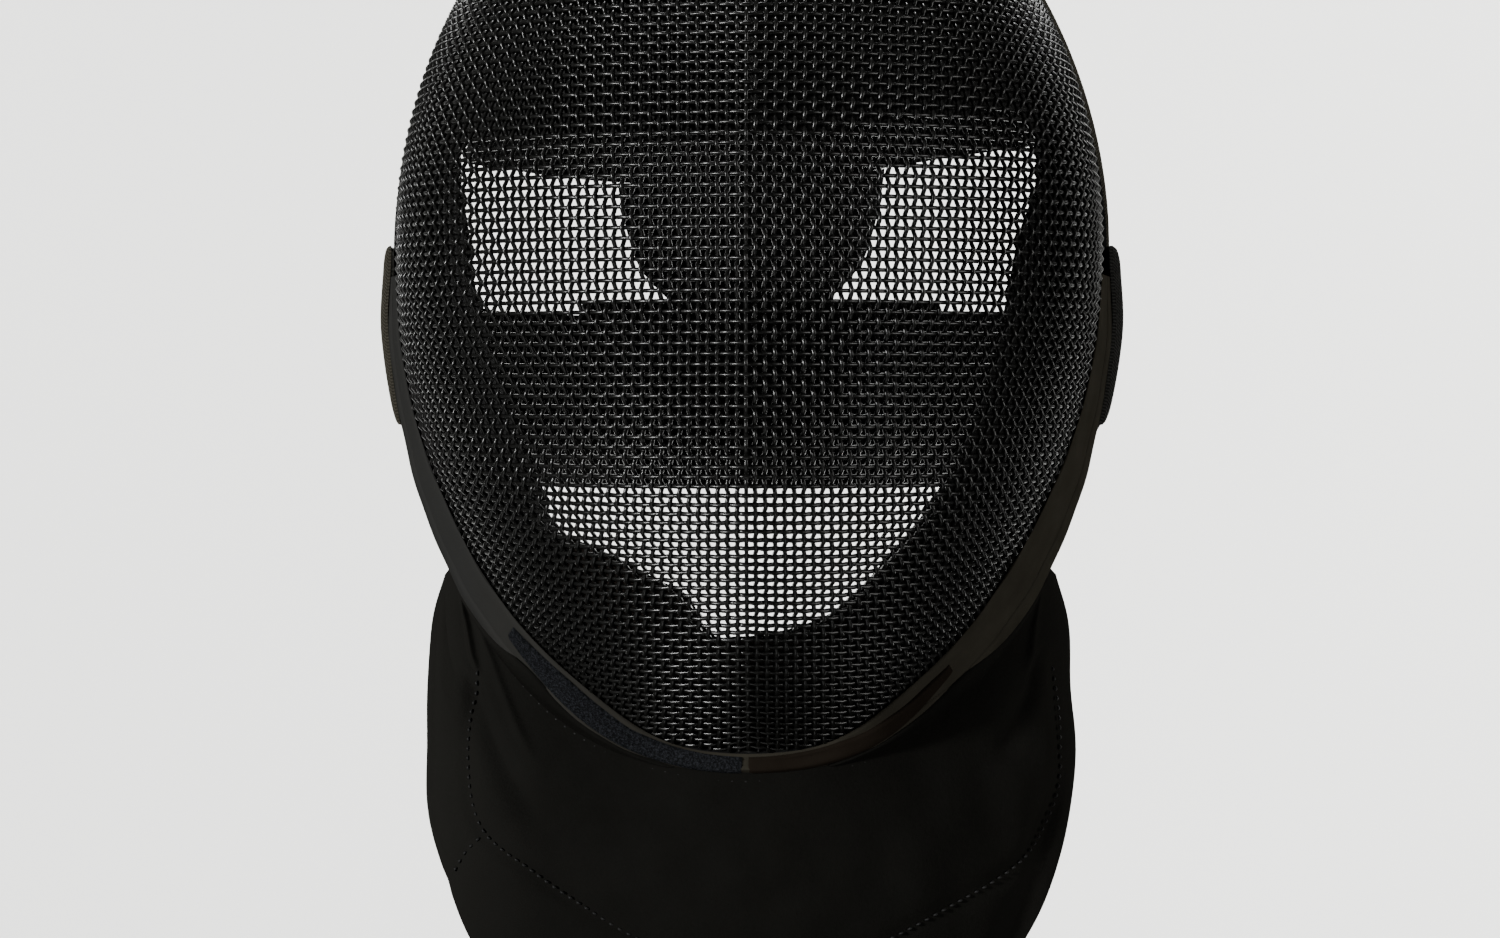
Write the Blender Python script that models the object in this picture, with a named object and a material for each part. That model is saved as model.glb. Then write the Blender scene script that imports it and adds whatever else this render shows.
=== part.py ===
"""Fencing mask: wire-mesh face shell, bound rim, collar band, suede bib, padded lining and back strap.

Frame: +Z is up, the face of the mask looks along -Y, and the origin is the head seat, the point on the
underside of the crown lining that rests on the crown of a head. Lengths are in metres.

The shell is worked out as a depth behind the foremost point of the mesh. A place on it has an angle
round the rim (0 at the wearer's left ear, 90 degrees at the crown, -90 degrees at the chin) and a cup
value, 1 at the front and 0 at the rim.
"""
import math

import bmesh
import bpy
import numpy as np

# Wire-mesh shell
RIM_HALF_WIDTH = 0.105
DOME_RISE = 0.134
JAW_DROP = 0.153
FRONT_DROP = 0.021
CROWN_DEPTH = 0.165
EAR_DEPTH = 0.150
CHIN_DEPTH = 0.097
MESH_WALL = 0.002
OUTLINE_POWER_ABOVE = 1.9
OUTLINE_POWER_BELOW = 2.2
RIM_SWEEP_ABOVE = 1.5
RIM_SWEEP_BELOW = 2.4
CREASE_SHARE = 0.23

# Seat of the head under the crown lining, from the foremost point of the mesh
SEAT_RISE = 0.1395
SEAT_DEPTH = 0.120

# Clearance between touching pieces
FIT = 0.0003
LINING_GAP = 0.0008

# Bound rim
TRIM_OUTER = 0.0024
TRIM_INNER = 0.0040
TRIM_WIDTH = 0.0080

# Collar band
BAND_PLY = 0.0018
BAND_FRONT = 0.0440
BAND_TURN = math.radians(86)
BAND_FADE = math.radians(9)
BAND_CLIMB = 0.9
BAND_BACK = 0.0100

# Bib
BIB_WALL = 0.0024
BIB_HALF_WIDTH = 0.0975
BIB_DROP = 0.106
BIB_FRONT_DEPTH = 0.086
BIB_REAR_DEPTH = 0.152
BIB_SPREAD = math.radians(53)
BIB_BOW = 0.0058

# Ear tabs and back strap
TAB_PLY = 0.0028
TAB_EDGE = 0.45
TAB_FRONT = 0.0100
TAB_BACK = 0.0160
STRAP_WIDTH = 0.0525
STRAP_PLY = 0.0024
STRAP_EAR_DROP = 0.0276
STRAP_NAPE_DROP = 0.0471
STRAP_LEVEL_POWER = 8
STRAP_PINCH = 0.0035
STRAP_PINCH_POWER = 4
KEEPER_HALF_LENGTH = 0.0515
KEEPER_SHIFT = 0.0025
KEEPER_WIDTH = 0.0567
KEEPER_PLY = 0.0030

# Padding behind the head
NAPE_DEPTH = 0.210
NAPE_NARROWING = 0.5
NAPE_NARROWING_POWER = 2.4
NAPE_CROWN_POWER = 2.2
REAR_PAD_THICKNESS = 0.008
REAR_PAD_HALF_WIDTH = 0.088
REAR_PAD_TURN = math.radians(36)
REAR_PAD_BOW = 0.027
TONGUE_THICKNESS = 0.008
TONGUE_HALF_WIDTH = 0.0415
TONGUE_LENGTH = 0.056

# Padding behind the mesh
FOREHEAD_THICKNESS = 0.010
CHEEK_THICKNESS = 0.015
CHIN_THICKNESS = 0.009
PAD_EDGE = 0.0016
PAD_SPLIT_TOP = math.radians(15)
PAD_SPLIT_JAW = math.radians(-50)
PAD_GAP_ANGLE = FIT / RIM_HALF_WIDTH

# Centre profile below the foremost point.
# Columns: share of the way down to the chin, share of CHIN_DEPTH
PROFILE_BELOW = [
    (0.00, 0.000),
    (0.21, 0.028),
    (0.32, 0.063),
    (0.42, 0.122),
    (0.53, 0.218),
    (0.64, 0.350),
    (0.75, 0.498),
    (0.87, 0.711),
    (1.00, 1.000),
]

# How square the level sections are.
# Columns: share of DOME_RISE (above 0) or JAW_DROP (below 0) from the widest level, section power
ROUNDNESS = [
    (-1.00, 1.00),
    (-0.86, 1.35),
    (-0.69, 1.90),
    (-0.46, 2.80),
    (-0.14, 3.90),
    (1.00, 3.10),
]

# How much of the vertical crease is left towards the crown.
# Columns: share of DOME_RISE from the widest level, share of CREASE_SHARE
CREASE_FADE = [
    (-1.00, 1.00),
    (0.30, 1.00),
    (0.65, 0.60),
    (1.00, 0.00),
]

# Front edge of the lining behind the mesh: level over the eyes, then down both sides to a point at the
# chin. Columns: angle round the rim in degrees, share of the way out to the rim
LINING_EDGE = [
    (-180, 0.800),
    (-172, 0.785),
    (-168, 0.765),
    (-154, 0.735),
    (-141, 0.745),
    (-134, 0.775),
    (-129, 0.748),
    (-122, 0.720),
    (-112, 0.712),
    (-103, 0.730),
    (-99, 0.780),
    (-92, 0.785),
    (-79, 0.775),
    (-69, 0.764),
    (-58, 0.732),
    (-48, 0.722),
    (-30, 0.722),
    (-12, 0.745),
    (0, 0.780),
    (9, 0.845),
    (15, 0.850),
    (18, 0.820),
    (24, 0.620),
    (31, 0.455),
    (48, 0.278),
    (68, 0.232),
    (90, 0.205),
    (119, 0.222),
    (137, 0.285),
    (149, 0.385),
    (157, 0.515),
    (162, 0.655),
    (165, 0.815),
    (169, 0.850),
    (174, 0.825),
    (180, 0.800),
]

# How far the collar band reaches over the mesh and past the rim.
# Columns: share of BAND_TURN from the chin to the ear, share of BAND_FRONT on the wearer's right, the same
# on the wearer's left, share of BAND_BACK
BAND_REACH = [
    (0.00, 0.06, 0.06, 0.16),
    (0.15, 0.08, 0.08, 0.20),
    (0.32, 0.31, 0.33, 0.60),
    (0.45, 0.47, 0.53, 0.92),
    (0.58, 0.66, 0.77, 1.00),
    (0.70, 0.86, 0.97, 1.00),
    (0.82, 0.86, 1.00, 1.00),
    (1.00, 0.66, 0.90, 1.00),
]

# Lower edge of the rear pad, which arches over the shoulders of the tongue.
# Columns: share of REAR_PAD_HALF_WIDTH across, share of DOME_RISE above the widest level
REAR_PAD_HEM = [
    (-1.00, 0.188),
    (-0.47, 0.151),
    (0.00, 0.152),
    (0.30, 0.166),
    (0.52, 0.189),
    (0.75, 0.210),
    (1.00, 0.228),
]

# Free edge of the bib, from the upper corner to the bottom.
# Columns: share of the way round, share of BIB_HALF_WIDTH, share of BIB_DROP below the chin,
# share of the way from BIB_FRONT_DEPTH back to BIB_REAR_DEPTH
BIB_EDGE = [
    (0.00, 0.00, 1.00, 0.00),
    (0.18, 0.36, 0.93, 0.07),
    (0.34, 0.65, 0.74, 0.20),
    (0.50, 0.86, 0.48, 0.38),
    (0.66, 0.97, 0.20, 0.60),
    (0.80, 1.00, -0.06, 0.80),
    (0.92, 0.975, -0.36, 0.94),
    (1.00, 0.945, -0.50, 1.00),
]

# Main folds of the bib: soft ridges and valleys in straight runs.
# Columns: start round the bib, start down it, end round, end down, height and half-width as shares
# of BIB_DROP
BIB_FOLDS = [
    (-0.80, 0.30, -0.42, 0.42, -0.024, 0.070),
    (-0.88, 0.45, -0.62, 0.95, 0.016, 0.090),
    (0.84, 0.30, 0.60, 0.38, -0.020, 0.070),
    (0.70, 0.78, 0.36, 0.98, -0.018, 0.080),
]

# Tongue outline, a round U. Columns: share of TONGUE_LENGTH downwards, share of TONGUE_HALF_WIDTH
TONGUE_OUTLINE = [
    (0.00, 1),
    (0.15, 0.965),
    (0.31, 0.91),
    (0.50, 0.805),
    (0.61, 0.67),
    (0.72, 0.5),
    (0.86, 0.3),
    (1.00, 0.12),
]


def clear_scene():
    """Remove every object, mesh and material of the start-up scene."""
    for item in list(bpy.data.objects):
        bpy.data.objects.remove(item, do_unlink=True)


def finish(name, colour, roughness, metallic=0.0):
    """A plain Principled material for one sub-part."""
    material = bpy.data.materials.new(name)
    material.use_nodes = True
    shader = material.node_tree.nodes["Principled BSDF"]
    shader.inputs["Base Color"].default_value = (*colour, 1.0)
    shader.inputs["Roughness"].default_value = roughness
    shader.inputs["Metallic"].default_value = metallic
    return material


def column(table, index):
    """One column of a table as an array."""
    return np.array([row[index] for row in table], dtype=float)


def smooth_table(value, places, heights):
    """Curve through table points: cubic pieces whose slopes are the means of their neighbours."""
    value = np.clip(value, places[0], places[-1])
    slopes = np.gradient(heights, places)
    index = np.clip(np.searchsorted(places, value) - 1, 0, len(places) - 2)
    step = places[index + 1] - places[index]
    t = (value - places[index]) / step
    start = heights[index] * (1 + 2 * t) * (1 - t) ** 2 + heights[index + 1] * t * t * (3 - 2 * t)
    lean = slopes[index] * step * t * (1 - t) ** 2 - slopes[index + 1] * step * t * t * (1 - t)
    return start + lean


def mirrored(table, index, sign):
    """A table's places and one column, continued past 0 by its mirror image."""
    places = column(table, 0)
    values = column(table, index)
    return np.concatenate([-places[:0:-1], places]), np.concatenate([sign * values[:0:-1], values])


def level_share(level):
    """Height above or below the widest level as a share of DOME_RISE or JAW_DROP."""
    return np.where(level >= 0, level / DOME_RISE, level / JAW_DROP)


def rim_depth(level):
    """Depth of the rim: it sweeps back to the crown and forward to the chin by powers of the height."""
    share = np.clip(level_share(level), -1, 1)
    above = EAR_DEPTH + (CROWN_DEPTH - EAR_DEPTH) * np.abs(share) ** RIM_SWEEP_ABOVE
    below = EAR_DEPTH - (EAR_DEPTH - CHIN_DEPTH) * np.abs(share) ** RIM_SWEEP_BELOW
    return np.where(share >= 0, above, below)


def roundness(level):
    """Section power at a height, from its table."""
    return smooth_table(level_share(level), column(ROUNDNESS, 0), column(ROUNDNESS, 1))


def profile_depth(level):
    """Depth of the centre line: a superellipse up to the crown, and the table down to the chin."""
    height = level + FRONT_DROP
    crown_share = np.clip(height / (DOME_RISE + FRONT_DROP), 0, 1)
    above = CROWN_DEPTH * (1 - (1 - crown_share ** 2) ** (1 / ROUNDNESS[-1][1]))
    chin_share = np.clip(-height / (JAW_DROP - FRONT_DROP), 0, 1)
    below = CHIN_DEPTH * smooth_table(chin_share, column(PROFILE_BELOW, 0), column(PROFILE_BELOW, 1))
    return np.where(height >= 0, above, below)


def outline_direction(angle):
    """Unit superellipse in the front view: cosine and sine over their power mean."""
    power = np.where(np.sin(angle) >= 0, OUTLINE_POWER_ABOVE, OUTLINE_POWER_BELOW)
    across = np.abs(np.cos(angle))
    up = np.abs(np.sin(angle))
    norm = (across ** power + up ** power) ** (1 / power)
    return np.cos(angle) / norm, np.sin(angle) / norm, power


def shell_place(angle, cup):
    """Outer face of the mesh: out along a ray by (1 - cup^q)^(1/2), back by crease and superellipse."""
    across, up, power = outline_direction(angle)
    reach_up = np.where(up >= 0, DOME_RISE, JAW_DROP)
    ray_power = roundness(up * reach_up)
    out = np.sqrt(np.clip(1 - np.clip(cup, 0, 1) ** ray_power, 0, 1))
    level = out * up * reach_up
    width_share = np.clip(1 - np.abs(out * up) ** power, 1e-9, 1) ** (1 / power)
    side = np.clip(out * np.abs(across) / width_share, 0, 1)
    centre = profile_depth(level)
    span = rim_depth(level) - centre
    fade = smooth_table(level_share(level), column(CREASE_FADE, 0), column(CREASE_FADE, 1))
    crease = CREASE_SHARE * fade
    swell = 1 - (1 - side ** 2) ** (1 / roundness(level))
    depth = centre + span * (crease * side + (1 - crease) * swell)
    return np.stack([out * across * RIM_HALF_WIDTH, depth, level], axis=-1)


def to_frame(place):
    """From (across, depth, level) to the frame whose origin is the head seat."""
    shift = np.array([0.0, -SEAT_DEPTH, FRONT_DROP - SEAT_RISE])
    return place + shift


def skin(angle, run):
    """Shell place at a distance from the rim: positive forward over the mesh, negative past it."""
    step = 0.02
    rim = shell_place(angle, np.zeros_like(angle))
    inner = shell_place(angle, np.full_like(angle, step))
    speed = np.linalg.norm(inner - rim, axis=-1) / step
    forward = shell_place(angle, np.clip(run / speed, 0, 1))
    tangent = (rim - inner) / np.linalg.norm(rim - inner, axis=-1)[..., None]
    past = rim + tangent * np.clip(-run, 0, None)[..., None]
    return np.where((run >= 0)[..., None], forward, past)


def normals_of(surface, first, second, steps):
    """Outward unit normals of a surface function by central differences."""
    along = surface(first + steps[0], second) - surface(first - steps[0], second)
    cross_way = surface(first, second + steps[1]) - surface(first, second - steps[1])
    normal = np.cross(along, cross_way)
    normal /= np.maximum(np.linalg.norm(normal, axis=-1), 1e-12)[..., None]
    outward = surface(first, second) - np.array([0.0, EAR_DEPTH, 0.0])
    turn = np.sign(np.sum(normal * outward, axis=-1))
    return normal * np.where(turn == 0, 1, turn)[..., None]


def skin_offset(angle, run, offset):
    """A point off the shell: skin place plus its outward normal times the offset."""
    normal = normals_of(skin, angle, run, (0.01, 0.0015))
    return to_frame(skin(angle, run) + normal * offset[..., None])


def shell_offset(angle, cup, offset):
    """A point off the shell by angle and cup, for the linings."""
    safe_cup = np.clip(cup, 0.02, 0.98)
    normal = normals_of(shell_place, angle, safe_cup, (0.01, 0.01))
    return to_frame(shell_place(angle, cup) + normal * offset[..., None])


def add_object(name, points, faces, material):
    """A mesh object with its normals made to point out."""
    mesh = bpy.data.meshes.new(name)
    mesh.from_pydata([tuple(point) for point in points], [], faces)
    work = bmesh.new()
    work.from_mesh(mesh)
    bmesh.ops.recalc_face_normals(work, faces=work.faces)
    work.to_mesh(mesh)
    work.free()
    mesh.shade_smooth()
    mesh.set_sharp_from_angle(angle=math.radians(40))
    mesh.materials.append(material)
    item = bpy.data.objects.new(name, mesh)
    bpy.context.collection.objects.link(item)
    return item


def closed_wall(name, outer, inner, material):
    """Two grids of points joined along all four edges into one closed wall."""
    rows, columns = outer.shape[:2]
    count = rows * columns
    points = np.concatenate([outer.reshape(-1, 3), inner.reshape(-1, 3)])
    faces = []
    for row in range(rows - 1):
        for col in range(columns - 1):
            a = row * columns + col
            b, c, d = a + 1, a + columns + 1, a + columns
            faces.append((a, b, c, d))
            faces.append((count + d, count + c, count + b, count + a))
    edge = [col for col in range(columns)]
    edge += [row * columns + columns - 1 for row in range(1, rows)]
    edge += [(rows - 1) * columns + col for col in range(columns - 2, -1, -1)]
    edge += [row * columns for row in range(rows - 2, 0, -1)]
    for a, b in zip(edge, edge[1:] + edge[:1]):
        faces.append((b, a, count + a, count + b))
    return add_object(name, points, faces, material)


def closed_ring(name, loops, material):
    """Cross-sections round the rim joined into one closed ring."""
    rows, columns = loops.shape[:2]
    faces = []
    for row in range(rows):
        after = (row + 1) % rows
        for col in range(columns):
            side = (col + 1) % columns
            faces.append((row * columns + col, row * columns + side,
                          after * columns + side, after * columns + col))
    return add_object(name, loops.reshape(-1, 3), faces, material)


def grid(first, second):
    """Two value lists as a grid of rows and columns."""
    return np.meshgrid(first, second, indexing="ij")


def make_mesh_shell():
    """The stamped mesh: rings of the dome round one front point, with a 2 mm wall inwards."""
    around, rings = 60, 14
    angles = np.linspace(0, 2 * math.pi, around, endpoint=False)
    cups = np.linspace(0.985, 0.0, rings)
    angle, cup = grid(angles, cups)
    outer = to_frame(shell_place(angle, cup))
    inner = shell_offset(angle, cup, np.full(angle.shape, -MESH_WALL))
    front = to_frame(np.array([0.0, profile_depth(np.array(0.0)), 0.0]))
    back = front + np.array([0.0, MESH_WALL, 0.0])
    count = around * rings
    points = np.concatenate([outer.reshape(-1, 3), inner.reshape(-1, 3), [front, back]])
    faces = []
    for row in range(around):
        after = (row + 1) % around
        for col in range(rings - 1):
            a, b = row * rings + col, row * rings + col + 1
            c, d = after * rings + col + 1, after * rings + col
            faces.append((a, b, c, d))
            faces.append((count + d, count + c, count + b, count + a))
        a, b = row * rings, after * rings
        faces.append((2 * count, a, b))
        faces.append((2 * count + 1, count + b, count + a))
        c, d = row * rings + rings - 1, after * rings + rings - 1
        faces.append((c, count + c, count + d, d))
    material = finish("mesh_black", (0.02, 0.02, 0.02), 0.35, 0.6)
    return add_object("mesh_shell", points, faces, material)


def make_rim_trim():
    """The bound edge: an eight-sided bead that follows the rim just behind the mesh."""
    around = 60
    angles = np.linspace(0, 2 * math.pi, around, endpoint=False)
    middle = (TRIM_OUTER - TRIM_INNER) / 2
    half_height = (TRIM_OUTER + TRIM_INNER) / 2
    turn = np.linspace(0, 2 * math.pi, 8, endpoint=False) + math.pi / 8
    square = np.maximum(np.abs(np.cos(turn)), np.abs(np.sin(turn)))
    run = -FIT - TRIM_WIDTH / 2 + TRIM_WIDTH / 2 * np.cos(turn) / square
    offset = middle + half_height * np.sin(turn) / square
    angle, run = grid(angles, run)
    offset = np.broadcast_to(offset, angle.shape)
    loops = skin_offset(angle, run, offset)
    return closed_ring("rim_trim", loops, finish("binding", (0.012, 0.012, 0.012), 0.5))


def from_chin(angle):
    """How far round the rim an angle lies from the chin, on either side."""
    return np.abs((angle + math.pi * 3 / 2) % (2 * math.pi) - math.pi)


def band_reach(angle):
    """The band's reach over the mesh and past the rim at an angle, wider on the wearer's left."""
    turned = np.clip(from_chin(angle) / BAND_TURN, 0, 1)
    right, left, back = [smooth_table(turned, *mirrored(BAND_REACH, index, 1)) for index in (1, 2, 3)]
    return BAND_FRONT * np.where(np.cos(angle) < 0, right, left), BAND_BACK * back


def band_offset(angle, run):
    """Height of the collar band's inner face off the shell: it climbs from the mesh over the trim."""
    front, _ = band_reach(angle)
    climb = np.clip((BAND_CLIMB * front - run) / ((2 * BAND_CLIMB - 1) * front), 0, 1)
    climb = climb * climb * (3 - 2 * climb)
    return FIT + TRIM_OUTER * climb


def band_ply(angle):
    """Thickness of the band: it thins out at its ends, under the ear tabs."""
    left = np.clip((BAND_TURN + BAND_FADE / 3 - from_chin(angle)) / BAND_FADE, 0, 1)
    return BAND_PLY * left * left * (3 - 2 * left)


def make_collar_band():
    """The band over the lower rim, from ear to ear round the jaw."""
    angles = np.linspace(-math.pi / 2 + BAND_TURN, -math.pi / 2 - BAND_TURN, 41)
    angle, share = grid(angles, np.linspace(0, 1, 8))
    front, back = band_reach(angle)
    run = front - (front + back) * share
    base = band_offset(angle, run)
    inner = skin_offset(angle, run, base)
    outer = skin_offset(angle, run, base + band_ply(angle))
    return closed_wall("collar_band", outer, inner, finish("collar_black", (0.02, 0.02, 0.02), 0.6))


def make_ear_tab(name, centre_angle, upwards):
    """The sewn end of the strap, a patch over the band at the ear that thins out downwards."""
    rise = STRAP_WIDTH / 2
    spread = math.asin(min(rise / JAW_DROP, 0.9))
    angles = np.linspace(centre_angle - spread, centre_angle + spread, 11)
    runs = np.linspace(TAB_FRONT, -TAB_BACK, 6)
    angle, run = grid(angles, runs)
    across = np.linspace(-1, 1, 11)[:, None] * upwards
    along = np.linspace(-1, 1, 6)[None, :]
    taper = 1 - 0.5 * np.clip(-across, 0, 1) ** 1.5
    crown = taper * (TAB_EDGE + (1 - TAB_EDGE) * np.sqrt((1 - across ** 4) * (1 - along ** 6)))
    base = band_offset(angle, run) + band_ply(angle) + FIT
    inner = skin_offset(angle, run, base)
    outer = skin_offset(angle, run, base + TAB_PLY * crown)
    return closed_wall(name, outer, inner, finish(name, (0.03, 0.03, 0.03), 0.8))


def tab_angle():
    """Angle round the rim of the ear tab's middle, STRAP_EAR_DROP below the widest level."""
    return -math.asin(STRAP_EAR_DROP / JAW_DROP)


def strap_loop(theta, height, offset):
    """Point on the strap's loop: half an ellipse behind the head. At the ears it follows the rim."""
    level = height - STRAP_EAR_DROP
    start = rim_depth(level) + TAB_BACK + FIT
    outline = np.clip(-level / JAW_DROP, 0, 1) ** OUTLINE_POWER_BELOW
    pinch = STRAP_PINCH * np.clip(2 * height / STRAP_WIDTH, 0, 1) ** STRAP_PINCH_POWER
    narrowing = RIM_HALF_WIDTH * (1 - (1 - outline) ** (1 / OUTLINE_POWER_BELOW)) + pinch
    near_ear = np.abs(np.sin(theta)) ** STRAP_LEVEL_POWER
    middle = 2 * FIT + TRIM_OUTER + BAND_PLY + TAB_PLY / 2
    half = RIM_HALF_WIDTH + middle - STRAP_PLY / 2 + offset - narrowing * near_ear
    back = NAPE_DEPTH + FIT + offset
    drop = STRAP_NAPE_DROP - (STRAP_NAPE_DROP - STRAP_EAR_DROP) * near_ear
    depth = start + (back - start) * np.cos(theta)
    return to_frame(np.stack([half * np.sin(theta), depth, height - drop], axis=-1))


def make_back_strap():
    """The elastic strap, a flat band on the loop."""
    theta, height = grid(np.linspace(-math.pi / 2, math.pi / 2, 27),
                         np.linspace(-STRAP_WIDTH / 2, STRAP_WIDTH / 2, 5))
    inner = strap_loop(theta, height, 0 * theta)
    outer = strap_loop(theta, height, 0 * theta + STRAP_PLY)
    return closed_wall("back_strap", outer, inner, finish("elastic", (0.02, 0.02, 0.02), 0.9))


def make_strap_keeper():
    """The overlapped middle of the strap, a wider patch on its outer face."""
    first = math.asin((KEEPER_SHIFT - KEEPER_HALF_LENGTH) / (RIM_HALF_WIDTH + STRAP_PLY))
    last = math.asin((KEEPER_SHIFT + KEEPER_HALF_LENGTH) / (RIM_HALF_WIDTH + STRAP_PLY))
    theta, height = grid(np.linspace(first, last, 11),
                         np.linspace(-STRAP_WIDTH / 2, KEEPER_WIDTH - STRAP_WIDTH / 2, 5))
    inner = strap_loop(theta, height, 0 * theta + STRAP_PLY + FIT)
    outer = strap_loop(theta, height, 0 * theta + STRAP_PLY + FIT + KEEPER_PLY)
    return closed_wall("strap_keeper", outer, inner, finish("keeper", (0.02, 0.02, 0.02), 0.85))


def rear_pad_hem(across):
    """Level of the rear pad's lower edge at a distance across."""
    share = across / REAR_PAD_HALF_WIDTH
    return DOME_RISE * smooth_table(share, column(REAR_PAD_HEM, 0), column(REAR_PAD_HEM, 1))


def nape_place(across_share, level, offset):
    """The back of the head: level arcs that close the rim, domed towards the crown."""
    share = np.clip(level / DOME_RISE, -1, 1)
    above = np.clip(share, 0, 1)
    half = RIM_HALF_WIDTH * (1 - NAPE_NARROWING * above ** NAPE_NARROWING_POWER)
    crown = above ** NAPE_CROWN_POWER
    rim = rim_depth(level)
    back = NAPE_DEPTH - (NAPE_DEPTH - CROWN_DEPTH - TRIM_WIDTH) * crown + offset
    depth = rim + (back - rim) * np.sqrt(1 - across_share ** 2)
    return np.stack([(half + offset) * across_share, depth, level], axis=-1)


def make_rear_pad():
    """The padded panel from the crown rim down to the shoulders of the tongue."""
    columns, rows = 17, 9
    across = np.linspace(-1, 1, columns)
    down = np.linspace(0, 1, rows)
    swell = REAR_PAD_THICKNESS - 2 * PAD_EDGE
    faces = []
    for side in (0, 1):
        side_shape = np.sqrt(np.clip(1 - across[:, None] ** 6, 0, 1))
        puff = swell * side_shape * np.sin(math.pi * down)[None, :] ** 0.4
        angle = math.pi / 2 - across * REAR_PAD_TURN
        seat = (TRIM_OUTER - TRIM_INNER) / 2 + (PAD_EDGE if side else -PAD_EDGE) / 2
        top = skin_offset(angle, np.full(columns, -TRIM_WIDTH - 2 * FIT), np.full(columns, seat))
        bottom_level = rear_pad_hem(across * REAR_PAD_HALF_WIDTH)
        offset = (PAD_EDGE if side else -PAD_EDGE) / 2 * np.ones(columns)
        spread = across * REAR_PAD_HALF_WIDTH / RIM_HALF_WIDTH
        bottom = to_frame(nape_place(spread, bottom_level, offset))
        weight = (down ** 1.1)[None, :, None]
        straight = top[:, None, :] * (1 - weight) + bottom[:, None, :] * weight
        bow = REAR_PAD_BOW * np.sin(math.pi * down)[None, :]
        away = np.stack([0.25 * across, 0.85 + 0 * across, 0.55 - 0.25 * across ** 2], axis=-1)
        lift = bow * (1 - 0.55 * across[:, None] ** 2) + (puff / 2 if side else -puff / 2)
        faces.append(straight + away[:, None, :] * lift[..., None])
    inner, outer = faces
    return closed_wall("rear_pad", outer, inner, finish("rear_pad", (0.025, 0.025, 0.025), 0.9))


def make_back_tongue():
    """The padded tongue that hangs from the rear pad down behind the strap's loop."""
    down = np.linspace(0, 1, 13)
    across = np.linspace(-1, 1, 9)
    half = TONGUE_HALF_WIDTH * smooth_table(down, column(TONGUE_OUTLINE, 0), column(TONGUE_OUTLINE, 1))
    place = half[:, None] / RIM_HALF_WIDTH * across[None, :]
    top = rear_pad_hem(TONGUE_HALF_WIDTH * across) - FIT
    bottom = DOME_RISE * REAR_PAD_HEM[2][1] - TONGUE_LENGTH
    levels = top[None, :] + (bottom - top)[None, :] * down[:, None]
    puff = np.sqrt(np.clip(1 - across[None, :] ** 4, 0, 1)) * np.sqrt(np.clip(1 - down[:, None] ** 8, 0, 1))
    thickness = PAD_EDGE + (TONGUE_THICKNESS - PAD_EDGE) * puff
    rear = nape_place(place, levels, 0 * place)
    front = rear - np.array([0.0, 1.0, 0.0]) * thickness[..., None]
    return closed_wall("back_tongue", to_frame(rear), to_frame(front),
                       finish("tongue", (0.025, 0.025, 0.025), 0.9))


def lining_edge_cup(angle):
    """Cup value of the lining's front edge."""
    _, up, _ = outline_direction(angle)
    turned = (np.degrees(angle) + 180) % 360 - 180
    out = smooth_table(turned, column(LINING_EDGE, 0), column(LINING_EDGE, 1))
    reach_up = np.where(up >= 0, DOME_RISE, JAW_DROP)
    return (1 - out ** 2) ** (1 / roundness(up * reach_up))


def make_lining(name, first, last, around, thickness, colour):
    """A pad right behind the mesh, from the rim forward to the lining's edge, thickest at the rim."""
    angles = np.linspace(first, last, around)
    share = np.linspace(0, 1, 9)
    edge = lining_edge_cup(angles)
    angle = np.broadcast_to(angles[:, None], (around, len(share)))
    cup = edge[:, None] * share[None, :]
    ends = np.linspace(-1, 1, around)[:, None]
    puff = np.sqrt(np.clip(1 - np.abs(ends) ** 10, 0, 1)) * (1 - share[None, :] ** 2.5) ** 0.7
    puff = puff * np.minimum(1, 0.55 + 3 * share[None, :])
    back = -MESH_WALL - LINING_GAP
    outer = shell_offset(angle, cup, np.full(angle.shape, back))
    inner = shell_offset(angle, cup, back - PAD_EDGE - (thickness - PAD_EDGE) * puff)
    return closed_wall(name, outer, inner, finish(name, colour, 0.9))


def fold_height(around, down):
    """Sum of the bib's folds: each a smooth ridge that fades at both ends of its run."""
    total = np.zeros_like(around)
    for start_round, start_down, end_round, end_down, height, half_width in BIB_FOLDS:
        run = np.array([end_round - start_round, end_down - start_down])
        length = np.dot(run, run)
        along = ((around - start_round) * run[0] + (down - start_down) * run[1]) / length
        off_round = around - start_round - along * run[0]
        off_down = down - start_down - along * run[1]
        away = np.sqrt(off_round ** 2 + off_down ** 2) / half_width
        fade = np.clip(along * (1 - along) * 6, 0, 1)
        total += height * BIB_DROP * fade * np.exp(-away ** 2)
    return total


def bib_place(around, down):
    """Bib surface: from the collar's edge to the free edge, bowed out, with the folds on top."""
    angle = -math.pi / 2 + around * BIB_SPREAD
    _, back = band_reach(angle)
    top = skin_offset(angle, -back - FIT - BIB_WALL / 3,
                      np.full(angle.shape, FIT + TRIM_OUTER + BAND_PLY / 2))
    width = smooth_table(around, *mirrored(BIB_EDGE, 1, -1)) * BIB_HALF_WIDTH
    below = smooth_table(around, *mirrored(BIB_EDGE, 2, 1)) * BIB_DROP
    back = smooth_table(around, *mirrored(BIB_EDGE, 3, 1))
    depth = BIB_FRONT_DEPTH + (BIB_REAR_DEPTH - BIB_FRONT_DEPTH) * back
    edge = to_frame(np.stack([width, depth, -JAW_DROP - below], axis=-1))
    flat = top * (1 - down)[..., None] + edge * down[..., None]
    outward = np.stack([np.sin(around * 1.2), -np.cos(around * 1.2), 0 * around], axis=-1)
    bow = np.sin(math.pi * down) * BIB_BOW * (1 - around ** 4)
    return flat + outward * (bow + fold_height(around, down))[..., None]


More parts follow.
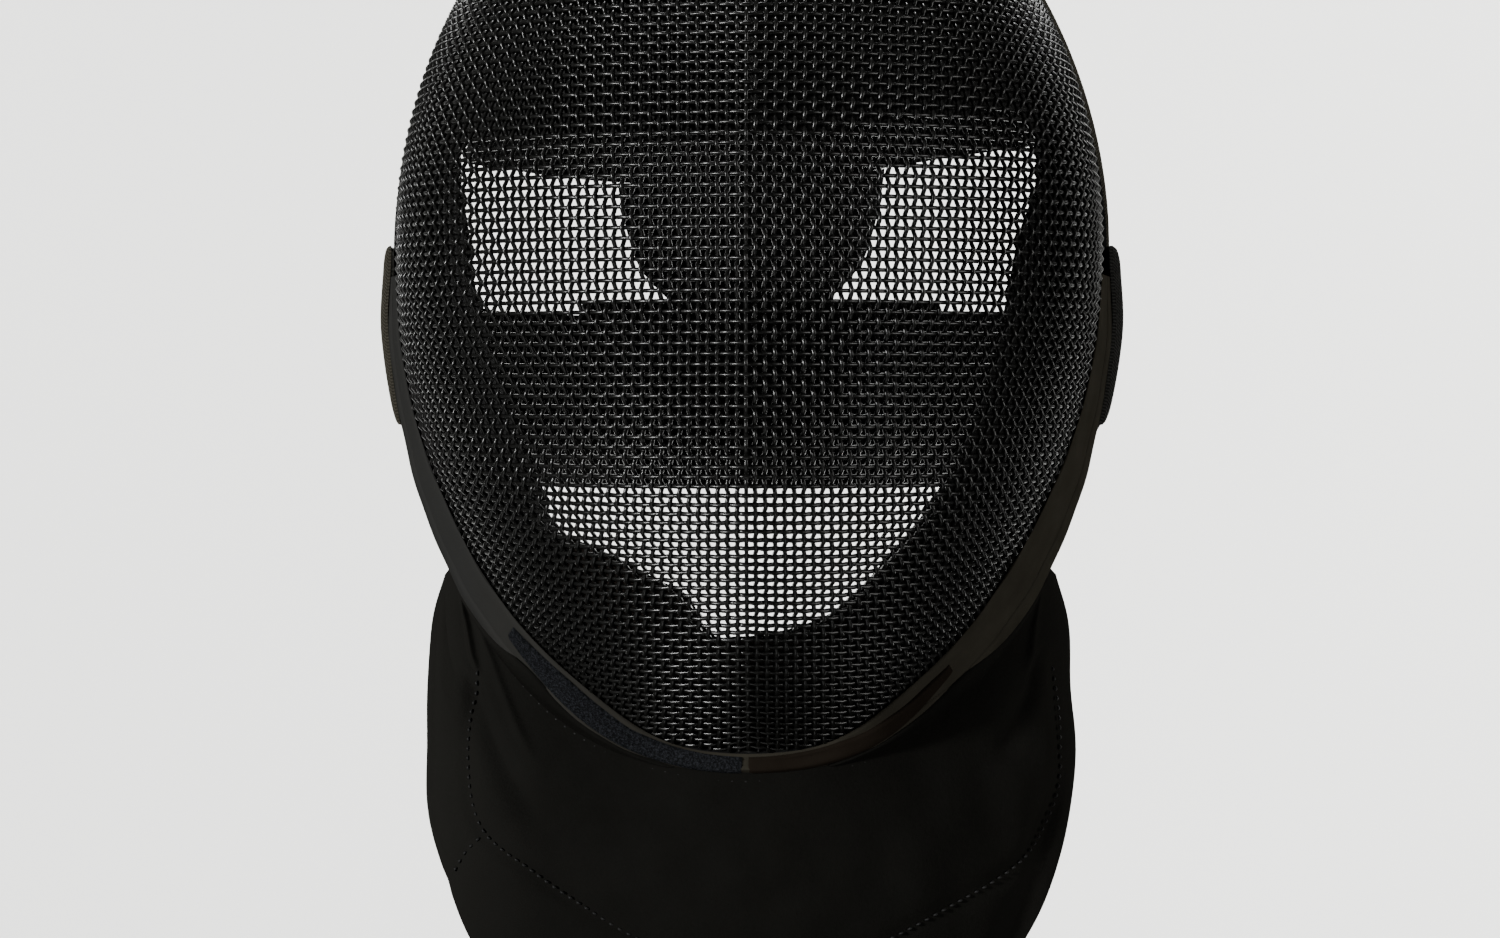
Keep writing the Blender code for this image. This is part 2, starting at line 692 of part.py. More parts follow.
def make_bib():
    """The throat bib, a curved suede wall."""
    columns, rows = 31, 12
    around, down = grid(np.linspace(-1, 1, columns), np.linspace(0, 1, rows))
    outer = bib_place(around, down)
    step = 1e-3
    along = bib_place(np.clip(around + step, -1, 1), down) - bib_place(np.clip(around - step, -1, 1), down)
    downward = bib_place(around, np.clip(down + step, 0, 1)) - bib_place(around, np.clip(down - step, 0, 1))
    normal = np.cross(along, downward)
    normal /= np.linalg.norm(normal, axis=-1)[..., None]
    normal *= np.sign(normal[columns // 2, rows // 2, 1])
    inner = outer + normal * BIB_WALL
    return closed_wall("bib", outer, inner, finish("suede", (0.015, 0.014, 0.014), 0.95))


clear_scene()
make_mesh_shell()
make_rim_trim()
make_collar_band()
make_bib()
make_ear_tab("ear_tab_left", tab_angle(), 1)
make_ear_tab("ear_tab_right", math.pi - tab_angle(), -1)
make_back_strap()
make_strap_keeper()
make_rear_pad()
make_back_tongue()
make_lining("forehead_pad", PAD_SPLIT_TOP + PAD_GAP_ANGLE, math.pi - PAD_SPLIT_TOP - PAD_GAP_ANGLE, 27,
            FOREHEAD_THICKNESS, (0.03, 0.03, 0.03))
make_lining("cheek_pad_left", PAD_SPLIT_JAW + PAD_GAP_ANGLE, PAD_SPLIT_TOP - PAD_GAP_ANGLE, 13,
            CHEEK_THICKNESS, (0.02, 0.02, 0.02))
make_lining("cheek_pad_right", math.pi - PAD_SPLIT_TOP + PAD_GAP_ANGLE,
            math.pi - PAD_SPLIT_JAW - PAD_GAP_ANGLE, 13, CHEEK_THICKNESS, (0.02, 0.02, 0.02))
make_lining("chin_pad", -math.pi - PAD_SPLIT_JAW + PAD_GAP_ANGLE, PAD_SPLIT_JAW - PAD_GAP_ANGLE, 19,
            CHIN_THICKNESS, (0.02, 0.015, 0.012))
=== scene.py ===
# %% [markdown]
# A fencing mask is a stamped shell of woven steel wire, bound at its rear rim, with a padded lining, a
# suede bib that guards the throat, and an elastic strap behind the head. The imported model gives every
# piece its size and place. This script dresses it: woven wires, suede with seams, knit padding, elastic.

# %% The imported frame
import math
import bmesh
import bpy
import numpy as np
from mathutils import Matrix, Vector


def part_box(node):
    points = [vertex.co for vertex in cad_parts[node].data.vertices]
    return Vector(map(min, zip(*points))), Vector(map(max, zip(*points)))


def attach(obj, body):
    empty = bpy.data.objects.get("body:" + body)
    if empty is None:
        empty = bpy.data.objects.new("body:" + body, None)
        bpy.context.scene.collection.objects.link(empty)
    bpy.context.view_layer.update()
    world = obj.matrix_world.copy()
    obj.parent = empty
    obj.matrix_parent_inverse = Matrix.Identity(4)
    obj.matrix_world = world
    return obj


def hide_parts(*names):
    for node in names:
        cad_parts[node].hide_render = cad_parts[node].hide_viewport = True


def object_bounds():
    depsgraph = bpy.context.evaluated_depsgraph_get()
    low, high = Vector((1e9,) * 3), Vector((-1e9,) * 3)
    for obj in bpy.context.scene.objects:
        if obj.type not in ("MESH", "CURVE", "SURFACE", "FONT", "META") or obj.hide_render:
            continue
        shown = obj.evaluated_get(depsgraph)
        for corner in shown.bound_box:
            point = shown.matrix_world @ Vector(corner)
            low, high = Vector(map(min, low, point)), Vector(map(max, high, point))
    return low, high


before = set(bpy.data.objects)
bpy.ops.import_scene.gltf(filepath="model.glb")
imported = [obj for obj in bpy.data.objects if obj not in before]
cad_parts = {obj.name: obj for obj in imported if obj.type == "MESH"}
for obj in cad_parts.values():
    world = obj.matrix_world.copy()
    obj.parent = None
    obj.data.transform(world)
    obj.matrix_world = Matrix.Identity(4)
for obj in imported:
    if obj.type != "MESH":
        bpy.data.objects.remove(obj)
cad_box = [list(corner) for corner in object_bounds()]
print("model box in metres:", cad_box)

# %% [markdown]
# The studio comes first, because light and camera decide what the eye can compare. The mask is seen
# from straight in front, a little more of its left side showing, from about two metres away. The
# backdrop is one pale sweep, a floor that curves up into a wall, so that no horizon shows.

# %% Camera
IMAGE_WIDTH = 1500
PIXELS_PER_METRE = 3570
CAMERA_DISTANCE = 2.0
CAMERA_SIDE = math.radians(0.45)
CAMERA_LEVEL = -0.1868
SENSOR = 36.0
RIM_Y = 0.030
FAR_CLIP = 20

camera = bpy.data.objects.new("camera", bpy.data.cameras.new("camera"))
bpy.context.collection.objects.link(camera)
front_y = cad_box[0][1]
reach = RIM_Y - front_y + CAMERA_DISTANCE
camera.location = (reach * math.sin(CAMERA_SIDE), RIM_Y - reach * math.cos(CAMERA_SIDE), CAMERA_LEVEL)
camera.rotation_euler = (math.pi / 2, 0, CAMERA_SIDE)
camera.data.sensor_width = SENSOR
camera.data.lens = PIXELS_PER_METRE * CAMERA_DISTANCE / IMAGE_WIDTH * SENSOR
camera.data.clip_end = FAR_CLIP
bpy.context.scene.camera = camera
print("camera at", [round(value, 4) for value in camera.location], "lens", round(camera.data.lens, 1))

# %% [markdown]
# Shader maths reads best as plain expressions. Tap wraps one socket, and each operator on it adds one
# Math node, so wear * 0.5 + 0.1 is written just so. Finish is a material under construction: its node
# method makes any other node from its type, its settings and its inputs.

# %% Shader helpers
class Tap:
    """A value socket that can be added, multiplied and so on."""

    def __init__(self, tree, socket):
        self.tree = tree
        self.socket = socket

    def maths(self, operation, first, second=None):
        """One Math node over one or two values."""
        node = self.tree.nodes.new("ShaderNodeMath")
        node.operation = operation
        for socket, value in zip(node.inputs, (first, second)):
            if isinstance(value, Tap):
                self.tree.links.new(value.socket, socket)
            elif value is not None:
                socket.default_value = value
        return Tap(self.tree, node.outputs[0])

    def __add__(self, other):
        return self.maths("ADD", self, other)

    def __sub__(self, other):
        return self.maths("SUBTRACT", self, other)

    def __mul__(self, other):
        return self.maths("MULTIPLY", self, other)

    def __pow__(self, other):
        return self.maths("POWER", self, other)

    def sine(self):
        return self.maths("SINE", self)

    def size(self):
        return self.maths("ABSOLUTE", self)

    def clamp(self):
        return self.maths("MINIMUM", self.maths("MAXIMUM", self, 0.0), 1.0)


class Finish:
    """A material with one Principled shader, built node by node."""

    def __init__(self, name, **constants):
        self.material = bpy.data.materials.new(name)
        self.material.use_nodes = True
        self.tree = self.material.node_tree
        self.shader = self.tree.nodes["Principled BSDF"]
        self.set(**constants)

    def set(self, **sockets):
        """Constants and links of the shader's sockets, with _ for a space in a name."""
        for name, value in sockets.items():
            self.put(self.shader.inputs[name.replace("_", " ")], value)

    def put(self, socket, value):
        """One socket's value or link."""
        if isinstance(value, Tap):
            self.tree.links.new(value.socket, socket)
        elif isinstance(value, bpy.types.NodeSocket):
            self.tree.links.new(value, socket)
        elif hasattr(value, "__len__") and len(value) == 3 and socket.type == "RGBA":
            socket.default_value = (*value, 1.0)
        else:
            socket.default_value = value

    def node(self, kind, settings=None, output=0, **sockets):
        """A node of a type: settings first, then its inputs by name or number, then one output."""
        node = self.tree.nodes.new("ShaderNode" + kind)
        for name, value in (settings or {}).items():
            setattr(node, name, value)
        for name, value in sockets.items():
            key = int(name[1:]) if name[0] == "n" and name[1:].isdigit() else name.replace("_", " ")
            self.put(node.inputs[key], value)
        result = node.outputs[output]
        return Tap(self.tree, result) if result.type == "VALUE" else result

    def place(self):
        """Object coordinates, in metres."""
        return self.node("TexCoord", output="Object")

    def sideways(self):
        """Distance from the middle of the mask, positive towards the wearer's left."""
        return self.node("SeparateXYZ", n0=self.place())

    def lengths(self):
        """How far a point lies along and across its cloth, as stored with its mesh."""
        stored = self.node("Attribute", {"attribute_name": "cloth"}, output="Vector")
        return [self.node("SeparateXYZ", output=axis, n0=stored) for axis in (0, 1)]

    def noise(self, scale, detail=2.0, roughness=0.5):
        """Soft random values round 0.5."""
        return self.node("TexNoise", Vector=self.place(), Scale=scale, Detail=detail, Roughness=roughness)

    def mix(self, factor, low, high):
        """Colour between two colours."""
        return self.node("Mix", {"data_type": "RGBA"}, output=2, n0=factor, n6=low, n7=high)

    def cover(self, colour, roughness, height, strength, distance):
        """Colour, roughness and relief together, and the finished material."""
        relief = self.node("Bump", Height=height, Strength=strength, Distance=distance)
        self.set(Base_Color=colour, Roughness=roughness, Normal=relief)
        return self.material


# %% [markdown]
# The sweep is a flat profile carried sideways: floor, a quarter circle, wall. The lights stand in the
# places that the photo's highlights tell of: the key on the left in front at the camera's height, a weak
# fill on the right, one above, a weak one from below, one behind, and two that wash the backdrop, which
# is far brighter than the black mask. From behind the paper is clear, so it blocks no view of the back.

# %% Backdrop and lights
FLOOR_LEVEL = -0.75
FLOOR_FRONT = 0.7
WALL_Y = 2.2
SWEEP_RADIUS = 0.7
SWEEP_HALF_WIDTH = 4.0
SWEEP_STEPS = 24
WALL_TOP = 4.0
PAPER_COLOUR = (0.80, 0.80, 0.79)
WORLD_COLOUR = (0.93, 0.94, 0.93, 1.0)
WORLD_LIGHT = 0.06
WORLD_SEEN = 0.75

turn = np.linspace(0, math.pi / 2, SWEEP_STEPS)
profile = np.concatenate([
    [[FLOOR_FRONT, FLOOR_LEVEL]],
    np.stack([WALL_Y - SWEEP_RADIUS + SWEEP_RADIUS * np.sin(turn),
              FLOOR_LEVEL + SWEEP_RADIUS - SWEEP_RADIUS * np.cos(turn)], axis=-1),
    [[WALL_Y, WALL_TOP]],
])
corners = [(side, y, z) for y, z in profile for side in (-SWEEP_HALF_WIDTH, SWEEP_HALF_WIDTH)]
quads = [(2 * k, 2 * k + 1, 2 * k + 3, 2 * k + 2) for k in range(len(profile) - 1)]
sweep_mesh = bpy.data.meshes.new("backdrop")
sweep_mesh.from_pydata(corners, [], quads)
sweep_mesh.shade_smooth()
backdrop = bpy.data.objects.new("backdrop", sweep_mesh)
bpy.context.collection.objects.link(backdrop)
paper = Finish("backdrop_paper", Base_Color=PAPER_COLOUR, Roughness=1.0, Specular_IOR_Level=0.0)
sweep_mesh.materials.append(paper.material)
from_behind = paper.node("NewGeometry", output="Backfacing")
clear = paper.node("BsdfTransparent")
either = paper.node("MixShader", n0=from_behind, n1=paper.shader.outputs[0], n2=clear)
paper.tree.links.new(either, paper.tree.nodes["Material Output"].inputs["Surface"])

LIGHTS = [
    # name, place, aim, size, power, colour
    ("key", (-1.7, -1.45, 0.1), (0, 0, -0.15), 0.35, 75, (1.0, 1.0, 0.99)),
    ("fill", (1.8, -0.85, 0.0), (0, 0, -0.2), 0.9, 20, (1.0, 0.99, 0.96)),
    ("top", (-0.1, 0.15, 1.6), (0, 0, -0.1), 0.5, 36, (1.0, 1.0, 1.0)),
    ("bounce", (0.0, -0.9, -1.15), (0, 0, -0.3), 0.9, 4, (1.0, 1.0, 0.98)),
    ("rear", (0.9, 1.9, 1.1), (0, 0.1, -0.15), 0.6, 5, (1.0, 1.0, 1.0)),
    ("wash_left", (-0.95, 0.9, 0.3), (-0.55, 2.2, -0.1), 0.8, 28, (1.0, 1.0, 0.985)),
    ("wash_right", (0.95, 0.9, 0.3), (0.55, 2.2, -0.1), 0.8, 52, (0.995, 1.0, 0.98)),
]
for name, place, aim, size, power, colour in LIGHTS:
    data = bpy.data.lights.new(name, "AREA")
    data.size = size
    data.energy = power
    data.color = colour
    lamp = bpy.data.objects.new(name, data)
    lamp.location = place
    lamp.rotation_euler = (Vector(aim) - Vector(place)).to_track_quat("-Z", "Y").to_euler()
    bpy.context.collection.objects.link(lamp)

world = bpy.data.worlds.new("studio")
bpy.context.scene.world = world
world.use_nodes = True
background = world.node_tree.nodes["Background"]
background.inputs["Color"].default_value = WORLD_COLOUR
ray = world.node_tree.nodes.new("ShaderNodeLightPath")
strength = world.node_tree.nodes.new("ShaderNodeMapRange")
strength.inputs["To Min"].default_value = WORLD_LIGHT
strength.inputs["To Max"].default_value = WORLD_SEEN
world.node_tree.links.new(ray.outputs["Is Camera Ray"], strength.inputs["Value"])
world.node_tree.links.new(strength.outputs["Result"], background.inputs["Strength"])
print("lights:", [row[0] for row in LIGHTS])

# %% [markdown]
# The shell of the mask is a depth behind its foremost point. From the front its rim is an upright
# superellipse. Going out along a ray, a cup value falls from 1 at the front to 0 at the rim, where the
# wall runs straight back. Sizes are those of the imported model, and are checked against its box below.

# %% The shell's sizes and tables
RIM_HALF_WIDTH = 0.105
DOME_RISE = 0.134
JAW_DROP = 0.153
FRONT_DROP = 0.021
CROWN_DEPTH = 0.165
EAR_DEPTH = 0.150
CHIN_DEPTH = 0.097
OUTLINE_POWER_ABOVE = 1.9
OUTLINE_POWER_BELOW = 2.2
RIM_SWEEP_ABOVE = 1.5
RIM_SWEEP_BELOW = 2.4
CREASE_SHARE = 0.23
SEAT_RISE = 0.1395
SEAT_DEPTH = 0.120
FIT = 0.0003
RIM_STEP = 0.02
SKIN_STEPS = (0.01, 0.0015)
CUP_STEPS = (0.01, 0.01)

# Share of the way down to the chin, share of CHIN_DEPTH
PROFILE_BELOW = [(0.00, 0.000), (0.21, 0.028), (0.32, 0.063), (0.42, 0.122), (0.53, 0.218),
                 (0.64, 0.350), (0.75, 0.498), (0.87, 0.711), (1.00, 1.000)]
# Share of DOME_RISE or JAW_DROP from the widest level, section power
ROUNDNESS = [(-1.00, 1.00), (-0.86, 1.35), (-0.69, 1.90), (-0.46, 2.80), (-0.14, 3.90), (1.00, 3.10)]
# Share of DOME_RISE from the widest level, share of CREASE_SHARE
CREASE_FADE = [(-1.00, 1.00), (0.30, 1.00), (0.65, 0.60), (1.00, 0.00)]


# %% Curves through tables
def length(vectors):
    """Lengths of an array of vectors."""
    return np.linalg.norm(vectors, axis=-1)


def unit(vectors):
    """Vectors over their lengths, with nothing left where there is no length."""
    return vectors / np.maximum(length(vectors), 1e-12)[..., None]


def column(table, index):
    """One column of a table as an array."""
    return np.array([row[index] for row in table], dtype=float)


def smooth_table(value, places, heights):
    """Cubic pieces through the points, each with the mean slope of its neighbours at both ends."""
    value = np.clip(value, places[0], places[-1])
    slopes = np.gradient(heights, places)
    index = np.clip(np.searchsorted(places, value) - 1, 0, len(places) - 2)
    step = places[index + 1] - places[index]
    t = (value - places[index]) / step
    start = heights[index] * (1 + 2 * t) * (1 - t) ** 2 + heights[index + 1] * t * t * (3 - 2 * t)
    lean = slopes[index] * step * t * (1 - t) ** 2 - slopes[index + 1] * step * t * t * (1 - t)
    return start + lean


def read(table, value, index=1):
    """One column of a table, read as a smooth curve over its first column."""
    return smooth_table(value, column(table, 0), column(table, index))


def level_share(level):
    """Height from the widest level as a share of DOME_RISE or JAW_DROP."""
    return np.where(level >= 0, level / DOME_RISE, level / JAW_DROP)


def rim_depth(level):
    """Rim depth: back to the crown and forward to the chin by powers of the height."""
    share = np.clip(level_share(level), -1, 1)
    above = EAR_DEPTH + (CROWN_DEPTH - EAR_DEPTH) * np.abs(share) ** RIM_SWEEP_ABOVE
    below = EAR_DEPTH - (EAR_DEPTH - CHIN_DEPTH) * np.abs(share) ** RIM_SWEEP_BELOW
    return np.where(share >= 0, above, below)


def roundness(level):
    """Section power at a height."""
    return read(ROUNDNESS, level_share(level))


def profile_depth(level):
    """Centre line: a superellipse up to the crown, the table down to the chin."""
    height = level + FRONT_DROP
    crown_share = np.clip(height / (DOME_RISE + FRONT_DROP), 0, 1)
    above = CROWN_DEPTH * (1 - (1 - crown_share ** 2) ** (1 / ROUNDNESS[-1][1]))
    chin_share = np.clip(-height / (JAW_DROP - FRONT_DROP), 0, 1)
    below = CHIN_DEPTH * read(PROFILE_BELOW, chin_share)
    return np.where(height >= 0, above, below)


# %% The shell and its neighbourhood
def superellipse(turn, power):
    """Cosine and sine pushed out towards the corners of a square."""
    norm = (np.abs(np.cos(turn)) ** power + np.abs(np.sin(turn)) ** power) ** (1 / power)
    return np.cos(turn) / norm, np.sin(turn) / norm


def outline_direction(angle):
    """A point of the rim's outline, as shares of its half width and height, and the power there."""
    power = np.where(np.sin(angle) >= 0, OUTLINE_POWER_ABOVE, OUTLINE_POWER_BELOW)
    return *superellipse(angle, power), power


def shell_place(angle, cup):
    """Out along a ray by (1 - cup^q)^(1/2), and back by a crease plus a superellipse."""
    across, up, power = outline_direction(angle)
    reach_up = np.where(up >= 0, DOME_RISE, JAW_DROP)
    out = np.sqrt(np.clip(1 - np.clip(cup, 0, 1) ** roundness(up * reach_up), 0, 1))
    level = out * up * reach_up
    width_share = np.clip(1 - np.abs(out * up) ** power, 1e-9, 1) ** (1 / power)
    side = np.clip(out * np.abs(across) / width_share, 0, 1)
    centre = profile_depth(level)
    crease = CREASE_SHARE * read(CREASE_FADE, level_share(level))
    swell = 1 - (1 - side ** 2) ** (1 / roundness(level))
    depth = centre + (rim_depth(level) - centre) * (crease * side + (1 - crease) * swell)
    return np.stack([out * across * RIM_HALF_WIDTH, depth, level], axis=-1)


def to_frame(place):
    """From across, depth and level to the model's frame, whose origin is the head seat."""
    return place + np.array([0.0, -SEAT_DEPTH, FRONT_DROP - SEAT_RISE])


def skin(angle, run):
    """Shell place at a distance from the rim, positive over the mesh, negative straight past it."""
    rim = shell_place(angle, np.zeros_like(angle))
    inner = shell_place(angle, np.full_like(angle, RIM_STEP))
    reach_in = length(inner - rim)
    forward = shell_place(angle, np.clip(run * RIM_STEP / reach_in, 0, 1))
    past = rim + (rim - inner) * (np.clip(-run, 0, None) / reach_in)[..., None]
    return np.where((run >= 0)[..., None], forward, past)


def normals_of(surface, first, second, steps):
    """Outward unit normals by central differences."""
    along = surface(first + steps[0], second) - surface(first - steps[0], second)
    crosswise = surface(first, second + steps[1]) - surface(first, second - steps[1])
    normal = unit(np.cross(along, crosswise))
    outward = surface(first, second) - np.array([0.0, EAR_DEPTH, 0.0])
    sign = np.sign(np.sum(normal * outward, axis=-1))
    return normal * np.where(sign == 0, 1, sign)[..., None]


def skin_offset(angle, run, offset):
    """Skin place plus its outward normal times the offset, in the model's frame."""
    normal = normals_of(skin, angle, run, SKIN_STEPS)
    return to_frame(skin(angle, run) + normal * np.asarray(offset)[..., None])


ear = to_frame(shell_place(np.array([0.0]), np.array([0.0])))[0]
crown = to_frame(shell_place(np.array([math.pi / 2]), np.array([0.0])))[0]
_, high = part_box("mesh_shell")
print("shell check, should be near zero:", round(ear[0] - high[0], 5), round(crown[2] - high[2], 5))

# %% [markdown]
# Wire cloth keeps its pitch when it is stamped: only the angle between its wires changes. So each
# crossing lies one pitch from the crossing below it and one pitch from the crossing beside it, both
# measured in space. Starting from the vertical crease and one level wire, the rest follows by marching
# over the diagonals and solving the two distances for all crossings of a diagonal at once. The unknown
# is a complex chart number: its angle is the angle round the mask, and its size is (1 - cup)^(1/2), which
# behaves well at the front and at the rim.

# %% The chart
PITCH = 0.0030
CHART_REACH = 1.1
CHART_CELLS = 440
CHART_MARGIN = 0.02
MOST_WEFTS = 100
MOST_WARPS = 90
HALVINGS = 30
ROUNDS = 7
LONGEST_MOVE = 0.03
PITCH_SLACK = 0.02
NET_EDGE = 1.006
NET_SINK = 0.0010
chart_step = CHART_REACH / CHART_CELLS


def chart_surface(point):
    """Shell place of a chart point, going straight on past the rim."""
    angle = np.angle(point)
    cup = 1 - point.real ** 2 - point.imag ** 2
    rim, inner = [shell_place(angle, np.full_like(cup, value)) for value in (0.0, RIM_STEP)]
    past = (rim - inner) / RIM_STEP * np.clip(-cup, 0, None)[..., None]
    return shell_place(angle, np.clip(cup, 0, 1)) + past


cells_a, cells_b = np.arange(CHART_CELLS + 1), np.arange(-CHART_CELLS, CHART_CELLS + 1)
chart = chart_surface((cells_a[:, None] + 1j * cells_b[None, :]) * chart_step)


def look_up(point):
    """Place and both slopes at chart points, straight between the chart's stored points."""
    u = np.clip(point.real / chart_step, 0, CHART_CELLS - 1e-6)
    v = np.clip(point.imag / chart_step + CHART_CELLS, 0, 2 * CHART_CELLS - 1e-6)
    i, j = u.astype(int), v.astype(int)
    u, v = (u - i)[..., None], (v - j)[..., None]
    p00, p10, p01, p11 = chart[i, j], chart[i + 1, j], chart[i, j + 1], chart[i + 1, j + 1]
    place = p00 * (1 - u) * (1 - v) + p10 * u * (1 - v) + p01 * (1 - u) * v + p11 * u * v
    slope_a = ((p10 - p00) * (1 - v) + (p11 - p01) * v) / chart_step
    slope_b = ((p01 - p00) * (1 - u) + (p11 - p10) * u) / chart_step
    return place, slope_a, slope_b


# %% The net of crossings
def first_wire(way, count):
    """Chart points one pitch apart along a straight line of the chart, by bisection."""
    places = [0.0]
    while len(places) < count and places[-1] < CHART_REACH - 1.5 * CHART_MARGIN:
        near, far = places[-1], places[-1] + 4 * CHART_MARGIN
        for _ in range(HALVINGS):
            middle = (near + far) / 2
            start, reached = look_up(way * np.array([places[-1], middle]))[0]
            near, far = (middle, far) if length(reached - start) < PITCH else (near, middle)
        places.append(far)
    return way * np.array(places)


def quarter_net(upwards):
    """Chart points of all crossings right of the crease, above or below the level wire."""
    weft, warp = first_wire(1, MOST_WARPS), first_wire(1j * upwards, MOST_WEFTS)
    net = np.full((len(warp), len(weft)), complex(np.nan, np.nan))
    net[0], net[:, 0] = weft, warp
    for diagonal in range(2, sum(net.shape) - 1):
        i = np.arange(max(1, diagonal - net.shape[1] + 1), min(net.shape[0], diagonal))
        j = diagonal - i
        known = ~np.isnan(net[i - 1, j] + net[i, j - 1] + net[i - 1, j - 1])
        i, j = i[known], j[known]
        neighbours = [look_up(net[i - 1, j])[0], look_up(net[i, j - 1])[0]]
        point = net[i - 1, j] + net[i, j - 1] - net[i - 1, j - 1]
        for _ in range(ROUNDS):
            place, *slopes = look_up(point)
            gaps = [place - neighbour for neighbour in neighbours]
            miss_1, miss_2 = [np.sum(gap ** 2, axis=-1) - PITCH ** 2 for gap in gaps]
            j11, j12, j21, j22 = [2 * np.sum(gap * slope, axis=-1) for gap in gaps for slope in slopes]
            scale = j11 * j22 - j12 * j21
            scale = np.where(np.abs(scale) < 1e-12, 1e-12, scale)
            move = (miss_1 * j22 - miss_2 * j12 + 1j * (miss_2 * j11 - miss_1 * j21)) / scale
            point = point - move / np.maximum(np.abs(move) / LONGEST_MOVE, 1)
        right = np.abs(point) < CHART_REACH - CHART_MARGIN
        for neighbour in neighbours:
            right &= np.abs(length(look_up(point)[0] - neighbour) - PITCH) < PITCH_SLACK * PITCH
        net[i[right], j[right]] = point[right]
    return net


def whole_net():
    """Both quarters joined along the level wire, then mirrored over the crease."""
    upper, lower = quarter_net(1), quarter_net(-1)
    net = np.concatenate([lower[:0:-1], upper])
    place, slope_a, slope_b = look_up(np.nan_to_num(net))
    normal = unit(np.cross(slope_b, slope_a))
    normal *= -np.sign(normal[len(lower) - 1, 1, 1])
    normal[:, 0, 0] = 0
    place = place - normal * NET_SINK
    inside = ~np.isnan(net) & (np.abs(np.nan_to_num(net)) < NET_EDGE)
    flip = np.array([-1.0, 1.0, 1.0])
    place, normal = [np.concatenate([array[:, :0:-1] * flip, array], axis=1) for array in (place, normal)]
    inside = np.concatenate([inside[:, :0:-1], inside], axis=1)
    return to_frame(place), normal, inside, len(lower) - 1, upper.shape[1] - 1


crossings, crossing_normals, crossing_inside, level_row, crease_column = whole_net()
print("crossings on the mesh:", int(crossing_inside.sum()))

# %% [markdown]
# In a plain weave each wire goes over one crosser and under the next. The wires that run across are the
# wefts and stay nearly straight. The warps, which run up, take most of the crimp, so that seen slantwise
# the holes turn into wedges. Six smooth-shaded sides read as round at a millimetre, and keep each piece
# under 200,000 triangles.

# %% Woven wires
WIRE = 0.00138
WIRE_SIDES = 6
WARP_SWING = 0.00092
WEFT_SWING = 0.00024


def new_object(name, points, faces, slot, material):
    """A smooth mesh object from arrays, which rides on the root and stands for a node."""
    mesh = bpy.data.meshes.new(name)
    mesh.from_pydata(np.asarray(points).tolist(), [], faces)
    mesh.update()
    mesh.shade_smooth()
    mesh.materials.append(material)
    item = bpy.data.objects.new(name, mesh)
    bpy.context.collection.objects.link(item)
    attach(item, "root")
    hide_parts(slot)
    return item


def wire_tubes(name, place, normal, inside, lift, material):
    """Tubes along the rows of a net: rings at crossings, lifted over or under, and rings between."""
    rows, count = inside.shape
    centre = np.zeros((rows, 2 * count - 1, 3))
    up = np.zeros_like(centre)
    valid = np.zeros((rows, 2 * count - 1), dtype=bool)
    centre[:, ::2] = place + normal * lift[..., None]
    centre[:, 1::2] = (place[:, 1:] + place[:, :-1]) / 2
    up[:, ::2] = normal
    up[:, 1::2] = normal[:, 1:] + normal[:, :-1]
    valid[:, ::2] = inside
    valid[:, 1::2] = inside[:, 1:] & inside[:, :-1]
    paired = np.zeros((rows, 2 * count), dtype=bool)
    paired[:, 1:-1] = valid[:, 1:] & valid[:, :-1]
    valid &= paired[:, 1:] | paired[:, :-1]
    middle = np.where(valid[..., None], centre, np.nan)
    before = np.concatenate([middle[:, :1] * np.nan, middle[:, :-1]], axis=1)
    after = np.concatenate([middle[:, 1:], middle[:, -1:] * np.nan], axis=1)
    before = np.where(np.isnan(before), middle, before)
    after = np.where(np.isnan(after), middle, after)
    along = unit(np.nan_to_num(after - before))
    side = unit(np.cross(along, up))
    rise = np.cross(side, along)
    turn = np.linspace(0, 2 * math.pi, WIRE_SIDES, endpoint=False)[:, None]
    ring = WIRE / 2 * (np.cos(turn) * rise[:, :, None, :] + np.sin(turn) * side[:, :, None, :])
    points = centre[:, :, None, :] + ring
    number = np.cumsum(valid.ravel()).reshape(valid.shape) - 1
    joined = valid[:, :-1] & valid[:, 1:]
    start = number[:, :-1][joined][:, None] * WIRE_SIDES
    end = number[:, 1:][joined][:, None] * WIRE_SIDES
    corner = np.arange(WIRE_SIDES)[None, :]
    following = (corner + 1) % WIRE_SIDES
    quads = np.stack([start + corner, start + following, end + following, end + corner], axis=-1)
    faces = quads.reshape(-1, 4).tolist()
    opens = valid & ~np.concatenate([np.zeros((rows, 1), bool), valid[:, :-1]], axis=1)
    closes = valid & ~np.concatenate([valid[:, 1:], np.zeros((rows, 1), bool)], axis=1)
    faces += (number[opens][:, None] * WIRE_SIDES + corner[:, ::-1]).tolist()
    faces += (number[closes][:, None] * WIRE_SIDES + corner).tolist()
    return new_object(name, points[valid].reshape(-1, 3), faces, "mesh_shell", material)


enamel = Finish("wire_enamel", Specular_IOR_Level=0.3)
wear = enamel.noise(900, detail=3)
enamel.set(Base_Color=enamel.mix(wear, (0.003, 0.003, 0.0028), (0.007, 0.007, 0.0065)))
enamel.set(Roughness=enamel.noise(1400, detail=2) * 0.16 + 0.18)

